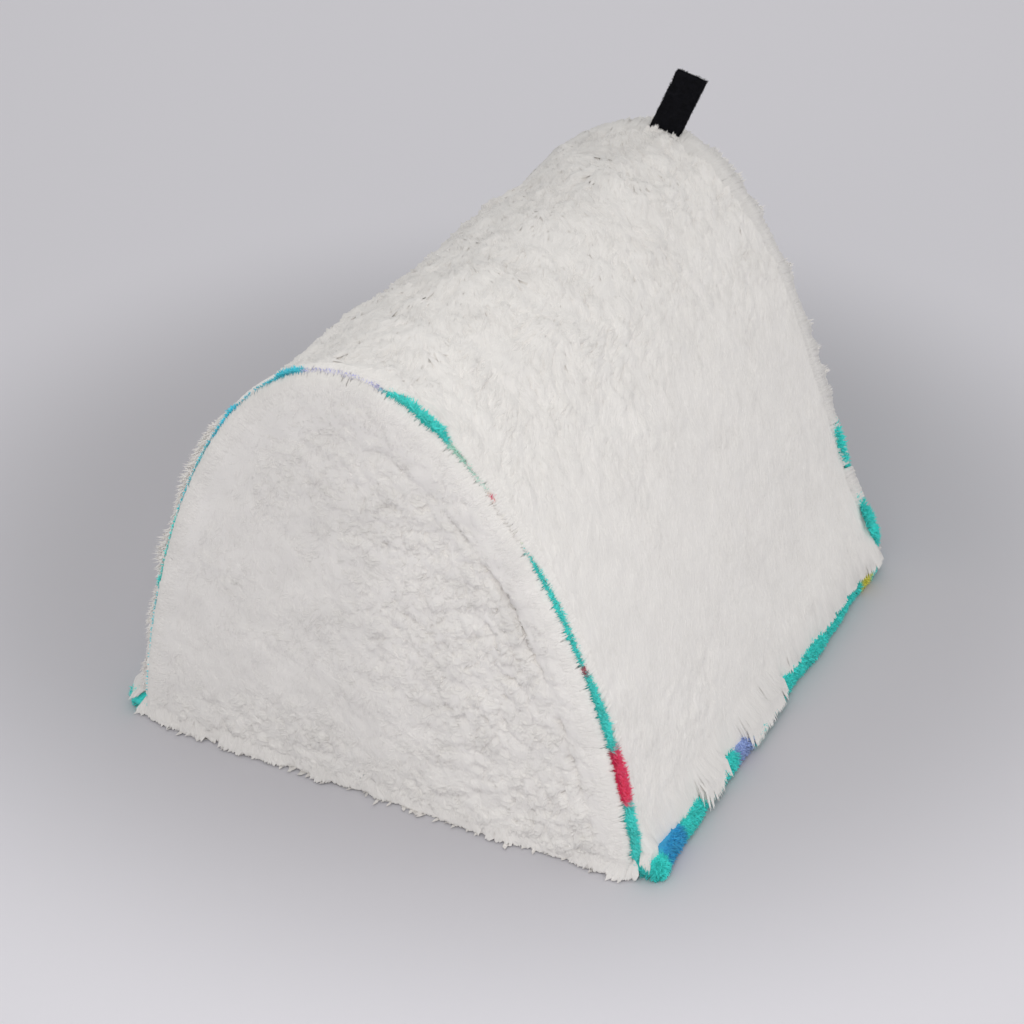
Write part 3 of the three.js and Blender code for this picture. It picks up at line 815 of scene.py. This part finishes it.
def side_tufts(count, seed):
    """Ragged pile that stands out along the arch seam's left side."""
    own = draws(count, seed)
    s = 300 + (ARCH_RUN - 300) * own[:, 0]
    lift = 0.8 + 0.6 * noise(s, s * 0, 11, 461) + bell(s - 402, 9)
    lift = np.clip(lift, 0.3, 1.7) * ramp(s, 300, 330)
    ys = (9 + 3 * own[:, 3], 6.5 + 2 * own[:, 3], 4.0 + 2 * own[:, 3], 2.0 + 2.5 * own[:, 4])
    outs = (1.2 + 0 * s, 2.4 + 1.0 * lift, 2.8 + 2.4 * lift * (0.4 + 0.6 * own[:, 5]),
            2.6 + 4.4 * lift * own[:, 5])
    half = 0.8 + 0.5 * own[:, 2]
    return folded_wisps("side_tufts", s, ys, outs, (0, -1, 0.4), half, own, 7 * own[:, 6] - 2,
                        (0.35, 0.4, 0.45, 0.5))


def rim_cover(count, seed):
    """White pile of the panel's rim that stands over the arch seam from the closed end."""
    own = draws(count, seed)
    run = own[:, 0] * SEAM_RUN
    shows = seam_shows(run)
    end = 1.9 - 0.85 * shows + 0.9 * (own[:, 4] - 0.5) + 0.6 * noise(run, run * 0, 4, 475)
    ys = (-3.1, -3.8, -2.9, end)
    outs = (-5.0 - 7.0 * own[:, 1], -3.2 - 4.0 * own[:, 1], -0.9 - 0.7 * own[:, 3],
            0.4 + 1.0 * own[:, 5] + 0.15 * shows + 0.6 * hidden(shows))
    drift = 8 * (own[:, 6] - 0.5) + 2.5 * noise(run, run * 0, 7, 476)
    centres, normals = [], []
    for k, share in enumerate((0.0, 0.2, 0.45, 0.7)):
        at = np.clip(run + drift * ALONG[k], 1, SEAM_RUN - 1)
        angle = np.interp(at, _seam_runs, _seam_angles)
        point = skin_point(angle, ys[k] + 0 * run, outs[k] + 0 * run)
        outwards = skin_point(angle, 0 * run, 1 + 0 * run) - skin_point(angle, 0 * run, 0 * run)
        centres.append(point)
        normals.append(unit(unit(outwards) * share + np.array([0, -1, 0]) * (1 - share)))
    half = 0.6 + 0.5 * own[:, 2]
    # These wisps take the panel's mottle and painted light
    return wisp_piece("rim_cover", centres, normals, (half, half * 0.8), (0.4, 0.4 * 0.9),
                      (-0.4, -0.4), 0.4, own, panel_mottle_and_painted_light(centres[1][:, 0], centres[1][:, 2]))


# Along the roof's two feet from the closed end: how much pile hangs over the floor's edge
RIGHT_COVER = ([-2, 4, 8, 30, 53, 57, 70, 74, 97, 102, 133, 138, 232, 243, 250, 262],
               [0.9, 0.5, 0.05, 0.05, 0.1, 1, 0.9, 0.1, 0.15, 1, 0.9, 0.08, 0.06, 0.2, 0.5, 0.35])
LEFT_COVER = ([-2, 14, 22, 80, 90, 110, 120, 262], [0.9, 0.8, 0.1, 0.05, 0.5, 0.5, 0.05, 0.1])


def foot_tufts(name, side, covers, count, seed):
    """Pile of one of the roof's feet that hangs over the rolled edge of the floor."""
    own = draws(count, seed)
    y = -1.5 + 263 * own[:, 0]
    cover = np.interp(y, *covers)
    kept = own[:, 1] < 0.45 + 0.55 * cover
    own, y, cover = own[kept], y[kept], cover[kept]
    nothing = np.zeros(len(y))
    foot = roof_point(nothing + (0 if side > 0 else ARCH_RUN), y, nothing)
    ragged = 0.8 + 0.4 * noise(y, nothing, 6, 495) + 0.6 * (own[:, 4] - 0.5)
    hang = (0.36 + 0.66 * cover) * np.clip(ragged, 0.15, 1.2)
    sway = 11 * (own[:, 6] - 0.5) + 3 * noise(y, nothing, 7, 496)
    high = 9 + 12 * own[:, 5]
    centres, normals = [], []
    for over_foot, up, share in ((high, -0.5, 0), (0.55 * high, 0.1, 0.35), (1.0, 0.4, 0.72)):
        at = nothing + over_foot
        at = at if side > 0 else ARCH_RUN - at
        at_y = np.clip(y + sway * share, ROOF_START + 1.5, ROOF_END - 1)
        centres.append(roof_point(at, at_y, roof_out(at, at_y) + up))
        normals.append(slope_normal(roof_surface, at, at_y))
    reach = centres[2][:, 0] - foot[:, 0]
    centres[2][:, 0] += side * 5.5 * hang
    centres[2][:, 2] += 0.9 * hang
    tip = centres[2].copy()
    tip[:, 1] += 0.3 * sway - 6 * (1 - ramp(y, -1, 9))
    tip[:, 0] = foot[:, 0] + reach + side * 8.0 * hang
    tip[:, 2] = foot[:, 2] - 0.6 - 4.2 * hang ** 2
    centres.append(tip)
    normals.append(unit(np.tile([side * 0.8, 0, 0.6], (len(y), 1))))
    half = 0.9 + 0.7 * own[:, 2]
    top = 0.3 + 0.4 * own[:, 3]
    # Painted shade: the left foot's pile is a little darker, like the roof's white past the ridge
    shade = nothing + (1 if side > 0 else 0.94)
    return wisp_piece(name, centres, normals, (half, half * 1.1), (top, top), (-0.4, -0.4), 0.3,
                      own, shade)


def hem_tufts(count, seed):
    """The ragged lower edge of the closed end, where its pile meets the ground."""
    own = draws(count, seed)
    x = -122 + 243 * own[:, 0]
    long = np.clip(0.75 + 0.8 * noise(x, x * 0, 9, 471) + 0.4 * noise(x, x * 0, 4, 472), 0.1, 1.9)
    z = 4 + 7 * own[:, 1]
    sway = 8 * (own[:, 6] - 0.5) + 3 * noise(x, z * 0, 6, 473)
    centres, normals = [], []
    for share, out in ((0, -0.5), (0.35, 0.2 + 0.5 * long), (0.72, 0.4 + 2.0 * long),
                       (1, 0.2 + 4.6 * long * own[:, 5])):
        centres.append(panel_point(x + sway * share, z * (1 - share) + 0.6 * share, out))
        normals.append(unit(np.tile([0, -1, 0.2 + 0.2 * share], (count, 1))))
    half = 0.7 + 0.9 * own[:, 2]
    thick = 0.3 + 0.5 * own[:, 3]
    # The panel's mottle and painted light
    shade = panel_mottle_and_painted_light(centres[1][:, 0], centres[1][:, 2])
    return wisp_piece("hem_tufts", centres, normals, (half, half * 1.2), (thick, thick),
                      (-thick, -thick), 0.5, own, shade, (LOW_GROUND, 0, 0))


def tab_tufts(count, seed):
    """Pile of the roof that stands up against the foot of the tab."""
    own = draws(count, seed)
    across = TAB_WIDTH * (0.62 - 1.24 * own[:, 0])
    high = 1.0 + 3.2 * own[:, 1] * np.clip(0.6 + 0.8 * noise(across, across * 0, 2.5, 481), 0.2, 1.2)
    centres, normals = [], []
    for share, before in ((0, 5.0), (0.35, 2.0), (0.72, 0.9), (1, 0.3)):
        slid = across + 2.5 * (own[:, 6] - 0.5) * share
        point = tab_point(slid, 3.2 + high * share, np.zeros(count))
        point[:, 1] -= before
        point[:, 2] -= 1.5 * (1 - share)
        centres.append(point)
        normals.append(unit(np.tile([0.1, -1, 0.6], (count, 1))))
    half = 0.32 + 0.3 * own[:, 2]
    return wisp_piece("tab_tufts", centres, normals, (half, half * 0.8), (0.25, 0.25),
                      (-0.25, -0.25), 0.25, own)


# The lining
def seam_lip(s):
    return lip_height(seam_shows(seam_run(s)))


def lip_print(s, colour, near):
    """The lining's colour at the arch seam, paler where white pile lies over it."""
    run = seam_run(s)
    shown = np.clip(seam_shows(run) / 1.6, 0.1, 1)[:, None]
    edge = printed(run, SEAM_PRINT) * shown + WHITE * (1 - shown)
    return colour * (1 - near[:, None]) + edge * near[:, None]


def lining_print(a, b):
    """Soft blobs of the print's other colours on the teal, all over the lining."""
    colour = np.tile(TEAL, (len(a), 1))
    for tone, size, seed, rare in ((BLUE, 24, 7, 0.42), (YELLOW, 20, 17, 0.52), (PINK, 22, 27, 0.5),
                                   (LILAC, 26, 37, 0.5), (CYAN, 30, 47, 0.3)):
        field = noise(a, b, size, seed) + 0.25 * noise(a, b, size / 4, seed + 1)
        inside = ramp(field, rare, rare + 0.16)[:, None]
        colour = colour * (1 - inside) + tone * inside
    return colour


def roof_lining():
    columns = 200
    s = np.linspace(0, ARCH_RUN, columns)
    even = np.linspace(9, 252, 12)
    outer = [(1.85, 0.8), (2.45, 0.0), (2.45, LINING_OUTSIDE)]
    outer += [(y, LINING_OUTSIDE) for y in even]
    outer += [(259.4, LINING_OUTSIDE), (259.4, -0.5), (259.4, 0.8), (260.1, 1.7)]
    even = np.linspace(5, 256, 110)
    inner = [(0.75, 0.8), (0.15, 0.0), (0.15, LINING_INSIDE)]
    inner += [(y, LINING_INSIDE) for y in even]
    inner += [(259.5, LINING_INSIDE + 0.3), (261.2, LINING_INSIDE + 2), (262, LINING_OUTSIDE)]
    inner += [(262, -1.0), (261.9, 0.6), (261.4, 1.5)]
    grids = []
    for stations in (outer, inner):
        y, out = np.array(stations).T
        ss, yy = np.meshgrid(s, y, indexing="ij")
        oo = np.tile(out, (columns, 1))
        at_seam = (yy < 2.6) & (oo > -0.1)
        oo = np.where(at_seam, seam_lip(ss) - 0.8 + oo, oo)
        if stations is inner:
            inside = ramp(yy, 3, 9) * ramp(260 - yy, 0, 8)
            oo = oo - inside * (0.5 * noise(ss, yy, 7, 401) + 0.4 * noise(ss, yy, 22, 402) - 0.2)
        grid = roof_point(ss, yy, oo)
        grid[[0, -1], :, 2] = FOOT_LEVEL
        grids.append(grid)
    points, groups = closed_strip(*grids)
    run = np.repeat(s, len(points) // columns)
    near = (points[:, 1] < 2.7).astype(float)
    tint = lip_print(run, lining_print(run, points[:, 1]), near)
    return piece("lining_roof", points, groups, teal, tint)


def back_lining():
    columns, rings = 120, 46
    angle = np.linspace(FOOT_ANGLE, math.pi - FOOT_ANGLE, columns)
    rim = skin_point(angle, np.zeros(columns), np.full(columns, LINING_INSIDE - 0.3))
    rim[[0, -1], 2] = FOOT_LEVEL
    shares = 1 - 0.94 * np.linspace(0, 1, rings)
    x = PANEL_MIDDLE + (rim[:, :1] - PANEL_MIDDLE) * shares
    z = FOOT_LEVEL + (rim[:, 2:] - FOOT_LEVEL) * shares
    depth = 4.4 * np.sqrt(np.clip((1 - shares) / 0.03, 0, 1)) + 0 * x
    inside = ramp(1 - shares, 0, 0.05)
    depth = depth + inside * (0.45 * noise(x, z, 7, 411) + 0.5 * noise(x, z, 24, 412) - 0.3)
    points, groups = closed_dish(np.stack([x, -PANEL_BACK + depth, z], -1), -PANEL_BACK)
    tint = lining_print(points[:, 0] + 300, points[:, 2])
    return piece("lining_back", points, groups, teal, tint)


# The floor
CORNER_STEPS, SIDE_STEPS = 8, 90


def floor_outline(inset):
    """The floor panel's outline, drawn in by `inset` on every side, from the closed end round."""
    radius = max(9 - inset, 1.5)
    edge, near, far = FLOOR_WIDTH / 2 - inset, 0.15 + inset, BAG_LENGTH - inset
    corners = [
        (edge - radius, near + radius, -90), (edge - radius, far - radius, 0),
        (radius - edge, far - radius, 90), (radius - edge, near + radius, 180),
    ]
    outline = []
    for k, (cx, cy, start) in enumerate(corners):
        for step in range(CORNER_STEPS + 1):
            turn = math.radians(start + 90 * step / CORNER_STEPS)
            outline.append((cx + radius * math.cos(turn), cy + radius * math.sin(turn)))
        nx, ny, turn = corners[(k + 1) % 4]
        nx += radius * math.cos(math.radians(turn))
        ny += radius * math.sin(math.radians(turn))
        lx, ly = outline[-1]
        for step in range(1, SIDE_STEPS):
            share = step / SIDE_STEPS
            outline.append((lx + (nx - lx) * share, ly + (ny - ly) * share))
    x, y = np.array(outline).T
    poke = np.where(x > 0, 5, 3) * max(1 - inset / 7, 0)
    waver = 0.7 * np.sin(y / 13) + 0.4 * np.sin(y / 5.3) if inset < 9 else 0
    reach = poke * bell(y - near, 6) + waver
    x = np.where(np.abs(x) > edge - radius, x + np.sign(x) * reach, x)
    return x, y


def floor_cloth(name, rings, bottom, top, look, relief, tint):
    """A floor layer, built of rings from the middle of its underside to that of its top."""
    points = []
    for z, inset in rings:
        x, y = floor_outline(inset)
        points.append(np.stack([x, y, np.full(len(x), float(z))], 1))
    size = len(points[0])
    points = np.concatenate([*points, [[0, 131, bottom], [0, 131, top]]])
    index = np.arange(size * len(rings)).reshape(len(rings), size)
    here, there = index[:-1], index[1:]
    quads = np.stack([here, np.roll(here, -1, 1), np.roll(there, -1, 1), there], -1).reshape(-1, 4)
    low, high = size * len(rings), size * len(rings) + 1
    first, last = index[0], index[-1]
    caps = np.concatenate([
        np.stack([np.full(size, low), np.roll(first, -1), first], 1),
        np.stack([last, np.roll(last, -1), np.full(size, high)], 1),
    ])
    points = relief(points)
    groups = outward(points, [quads, caps])
    return piece(name, points, groups, look, tint(*points.T))


FLOOR_EDGE = [(4.6, 8.2), (3.2, 7.3), (1.0, 7.1), (0.3, 5.4), (0.3, 3.2), (0.7, 1.9), (1.4, 1.1),
              (2.5, 0.4), (3.8, 0.1), (5.2, 0.1), (6.4, 0.2), (7.5, 0.8), (8.4, 1.6), (8.9, 2.8),
              (9.2, 4.2)]

# Along the floor's right edge, from the closed end to the mouth
EDGE_PRINT = [(9, 29, BLUE * 0.6 + CYAN * 0.4), (86, 101, LILAC * 0.6 + BLUE * 0.4),
              (236, 247, YELLOW)]


def edge_print(x, y, z):
    colour = printed(y, EDGE_PRINT)
    own = lining_print(x - 300, y + 0.5 * z)
    corner = (ramp(-100 - x, 0, 10) * ramp(30 - y, 0, 10))[:, None]
    own = own * (1 - corner) + TEAL * corner
    return np.where((x > 100)[:, None], colour, own)


def floor_lining():
    rings = [*FLOOR_EDGE]
    rings += [(9.2, inset) for inset in np.linspace(6, 24, 10)]
    rings += [(9.2 + 2 * share, 24 + 100 * share) for share in np.linspace(0.05, 0.97, 34)]

    def relief(points):
        x, y, z = points.T
        points[:, 2] += ramp(z, 8.8, 9.2) * (0.5 * noise(x, y, 7, 421) + 0.35 * noise(x, y, 20, 422))
        return points

    return floor_cloth("lining_floor", rings, 4.6, 11.2, teal, relief, edge_print)


def floor_plush():
    rings = [(0.0, inset) for inset in np.linspace(125, 9.6, 30)]
    rings += [(0.3, 8.7), (1.2, 7.8), (2.2, 7.5), (3.0, 7.6), (4.3, 9.0)]

    def relief(points):
        x, y, z = points.T
        up = 0.5 + 0.5 * noise(x, y, 6, 431)
        points[:, 2] += np.where(z < 0.01, 0.5 * up, 0)
        return points

    def plain(x, y, z):
        return np.tile(WHITE, (len(x), 1))

    return floor_cloth("floor_plush", rings, 0.0, 4.3, white, relief, plain)


def edge_fuzz(count, seed):
    """Short pile on the rolled edge of the floor's lining, thickest on the right side."""
    own = draws(count, seed, 6)
    levels, insets = np.array(FLOOR_EDGE[3:]).T
    pick = own[:, 4] * (len(levels) - 1)
    z = np.interp(pick, np.arange(len(levels)), levels)
    inset = np.interp(pick, np.arange(len(levels)), insets)
    ox, oy = floor_outline(0.0)
    right_share = 0.27
    place = np.where(own[:, 0] < 0.45, own[:, 5] * right_share, own[:, 5]) * len(ox) % len(ox)
    before, after = np.maximum(place - 0.5, 0), place + 0.5

    def around(at, values):
        return np.interp(at, np.arange(len(values) + 1), np.append(values, values[0]))

    x, y = around(place, ox), around(place, oy)
    nx = around(after, oy) - around(before, oy)
    ny = around(before, ox) - around(after, ox)
    flat = np.hypot(nx, ny) + 1e-9
    nx, ny = nx / flat, ny / flat
    tilt = (z - 4.5) / 5
    kept = (y > 4) | (np.abs(x) > 118)
    root = np.stack([x - nx * inset, y - ny * inset, z], 1)[kept]
    normal = np.stack([nx, ny, tilt], 1)[kept]
    normal /= np.linalg.norm(normal, axis=1, keepdims=True)
    own = own[kept]
    colours = edge_print(*root.T) * (0.8 + 0.4 * own[:, 2:3])
    return fuzz_piece("edge_fuzz", teal, colours, root, normal, 1.9, FUZZ_HALF, 0.8, own, LOW_GROUND)


# The mouth's rim
def mouth_fuzz(count, seed):
    """Teal pile along the mouth's rim, which stands out low down on the right."""
    own = draws(count, seed, 6)
    s = own[:, 4] ** 1.6 * ARCH_RUN
    turned = bell(s - 18, 11) + 0.5 * bell(s - 57, 13)
    stands = 0.4 + 1.5 * (bell(s - 58, 15) + bell(s - 18, 14)) + 0.25 * noise(s, s * 0, 9, 441)
    y = 259.6 + 2.3 * own[:, 3] - 7 * turned * own[:, 5]
    height = 0.6 + 2.6 * turned * own[:, 5] ** 0.5
    root = roof_point(s, y, height)
    normal = roof_point(s, y, height + 1) - root
    normal[:, 1] += 0.5 * (own[:, 3] - 0.3)
    normal /= np.linalg.norm(normal, axis=1, keepdims=True)
    colours = lining_print(s, y)
    colours = np.where((s < 120)[:, None], TEAL, colours) * (0.8 + 0.4 * own[:, 2:3])
    return fuzz_piece("mouth_fuzz", teal, colours, root, normal,
                      0.8 + 1.6 * np.clip(stands, 0, 2), FUZZ_HALF, 0.7, own, GROUND)


# The tape tab
def tab_point(across, height, thickness):
    x = TAB_FOOT[0] + height * math.sin(TAB_LEAN) + across * math.cos(TAB_SLOPE)
    z = TAB_FOOT[1] + height * math.cos(TAB_LEAN) + across * math.sin(TAB_SLOPE)
    return np.stack([x, TAB_FACE + thickness, z], -1)


def tab_tape():
    radius, tape, columns, steps = 1.4, 1.2, 30, 60
    up = np.linspace(0, TAB_HEIGHT - radius, steps)

    def rail(inset):
        bend = np.pi - np.pi * np.linspace(0, 1, 13)[1:-1]
        thickness = np.concatenate([
            np.full(steps, inset), radius + (radius - inset) * np.cos(bend),
            np.full(steps, 2 * radius - inset),
        ])
        height = np.concatenate([
            up, TAB_HEIGHT - radius + (radius - inset) * np.sin(bend), up[::-1]
        ])
        return thickness, height

    across = np.linspace(-TAB_WIDTH / 2, TAB_WIDTH / 2, columns)
    grids = []
    for inset in (0.0, tape):
        thickness, height = rail(inset)
        aa, tt = np.meshgrid(across, thickness, indexing="ij")
        hh = np.tile(height, (columns, 1))
        ripple = 0.12 * noise(aa, hh + tt * 9, 1.1, 451) * (1 if inset == 0 else 0)
        aa = aa + 0.25 * noise(hh, tt, 3, 452)
        grids.append(tab_point(aa, hh, tt + ripple * np.sign(tt - radius)))
    points, groups = closed_strip(*grids)
    return piece("tab_tape", points, groups, black, np.tile(BLACK, (len(points), 1)))


def tab_fray(count, seed):
    """The tape's nap: a fine fuzz on its faces, edges and fold."""
    own = draws(count, seed, 6)
    edge = own[:, 3] < 0.35
    fold = (own[:, 3] >= 0.35) & (own[:, 3] < 0.5)
    across = np.where(edge, np.sign(own[:, 4] - 0.5) * TAB_WIDTH / 2, (own[:, 4] - 0.5) * TAB_WIDTH)
    height = np.where(fold, TAB_HEIGHT - 0.2, own[:, 5] * TAB_HEIGHT)
    thickness = np.where(own[:, 0] < 0.5, 0.05, 2.75)
    thickness = np.where(edge, 2.8 * own[:, 0], np.where(fold, 0.6 + 1.6 * own[:, 0], thickness))
    root = tab_point(across, height, thickness)
    way = np.zeros((count, 3))
    way[:, 1] = np.where(thickness < 1.4, -1.0, 1.0)
    side = np.sign(across)[:, None] * np.array([math.cos(TAB_SLOPE), 0, math.sin(TAB_SLOPE)])
    upward = np.array([math.sin(TAB_LEAN), 0, math.cos(TAB_LEAN)])
    way = np.where(edge[:, None], side, np.where(fold[:, None], upward, way))
    colours = np.tile(BLACK, (count, 1))
    return fuzz_piece("tab_fray", black, colours, root, way, 0.7, 0.1, 0.7, own, GROUND)


# The pieces
half_way = ARCH_RUN / 2
roof = roof_plush()
roof_pile = [
    roof_wisps("roof_pile_right", 0, half_way, 13000, 101),
    roof_wisps("roof_pile_left", half_way, ARCH_RUN, 11500, 202),
]
panel = panel_plush()
panel_pile = panel_wisps(16500, 303)
lining_roof = roof_lining()
lining_back = back_lining()
lining_floor = floor_lining()
under_floor = floor_plush()
tab = tab_tape()
seam = seam_fuzz(11000, 501)
edge = edge_fuzz(15000, 502)
rim = mouth_fuzz(7000, 503)
fray = tab_fray(1800, 504)
covers = [
    seam_cover(3600, 601),
    side_tufts(1500, 602),
    foot_tufts("foot_tufts_right", 1, RIGHT_COVER, 4200, 603),
    foot_tufts("foot_tufts_left", -1, LEFT_COVER, 2200, 607),
    tab_tufts(160, 604),
    mouth_cover(3000, 605),
]
edges = [hem_tufts(2000, 606), rim_cover(2300, 608)]

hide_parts("roof_outer")
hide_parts("back_outer")
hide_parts("roof_lining")
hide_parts("back_lining")
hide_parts("floor_lining")
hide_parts("floor_outer")
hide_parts("hang_tab")

# Stage and light
bpy.context.scene.view_settings.view_transform = "Standard"

bpy.ops.mesh.primitive_plane_add(size=12, location=(0, 0, 0))
floor = bpy.context.object
floor.name = "floor"
floor_material, tree, shader = new_material("paper_with_painted_shadow", 0.7)
# Painted shadow: a soft shadow pool in the floor's colour, a little darker round the bag and lighter
# away from it
middle = add_node(tree, "VectorMath", Vector=tree.nodes.new("ShaderNodeTexCoord").outputs["Object"])
middle.inputs[1].default_value = (0.03, -0.07, 0)
away = add_node(tree, "VectorMath", "LENGTH", Vector=middle.outputs["Vector"])
painted_shadow_fade = add_node(tree, "MapRange", Value=away.outputs["Value"], From_Min=0.2, From_Max=0.38,
                To_Min=0.695)
painted_shadow_fade.interpolation_type = "SMOOTHSTEP"
paper_with_painted_shadow = add_node(tree, "VectorMath", "SCALE", Vector=(0.82, 0.805, 0.85),
                 Scale=painted_shadow_fade.outputs["Result"])
fill(tree, shader, Base_Color=paper_with_painted_shadow.outputs["Vector"])
floor.data.materials.append(floor_material)

world = bpy.data.worlds.new("studio")
bpy.context.scene.world = world
world.use_nodes = True
world.node_tree.nodes["Background"].inputs["Color"].default_value = (1, 1, 1, 1)
world.node_tree.nodes["Background"].inputs["Strength"].default_value = 0.60


def placed_lamp(name, light, place, aim):
    lamp = bpy.data.objects.new(name, light)
    bpy.context.scene.collection.objects.link(lamp)
    lamp.location = place
    lamp.rotation_mode = "QUATERNION"
    lamp.rotation_quaternion = (Vector(aim) - Vector(place)).to_track_quat("-Z", "Y")


def softbox(name, place, aim, size, power):
    light = bpy.data.lights.new(name, "AREA")
    light.shape = "RECTANGLE"
    light.size, light.size_y = size
    light.energy = power
    placed_lamp(name, light, place, aim)


def pool(name, place, aim, cone, power):
    """A soft round pool of light on the floor."""
    light = bpy.data.lights.new(name, "SPOT")
    light.spot_size = math.radians(cone)
    light.spot_blend = 1
    light.shadow_soft_size = 0.25
    light.energy = power
    placed_lamp(name, light, place, aim)


softbox("front", (0.22, -0.75, 0.82), (0.1, -0.3, 0), (0.5, 0.5), 1.42)
softbox("right", (0.9, 0.1, 0.8), (0, 0, 0.1), (0.6, 0.6), 0.9)
pool("near_floor", (0.5, -1.3, 1.9), (0.15, -0.32, 0), 26, 28)
pool("far_floor", (-0.5, 1.7, 1.9), (-0.4, 0.9, 0), 40, 11)
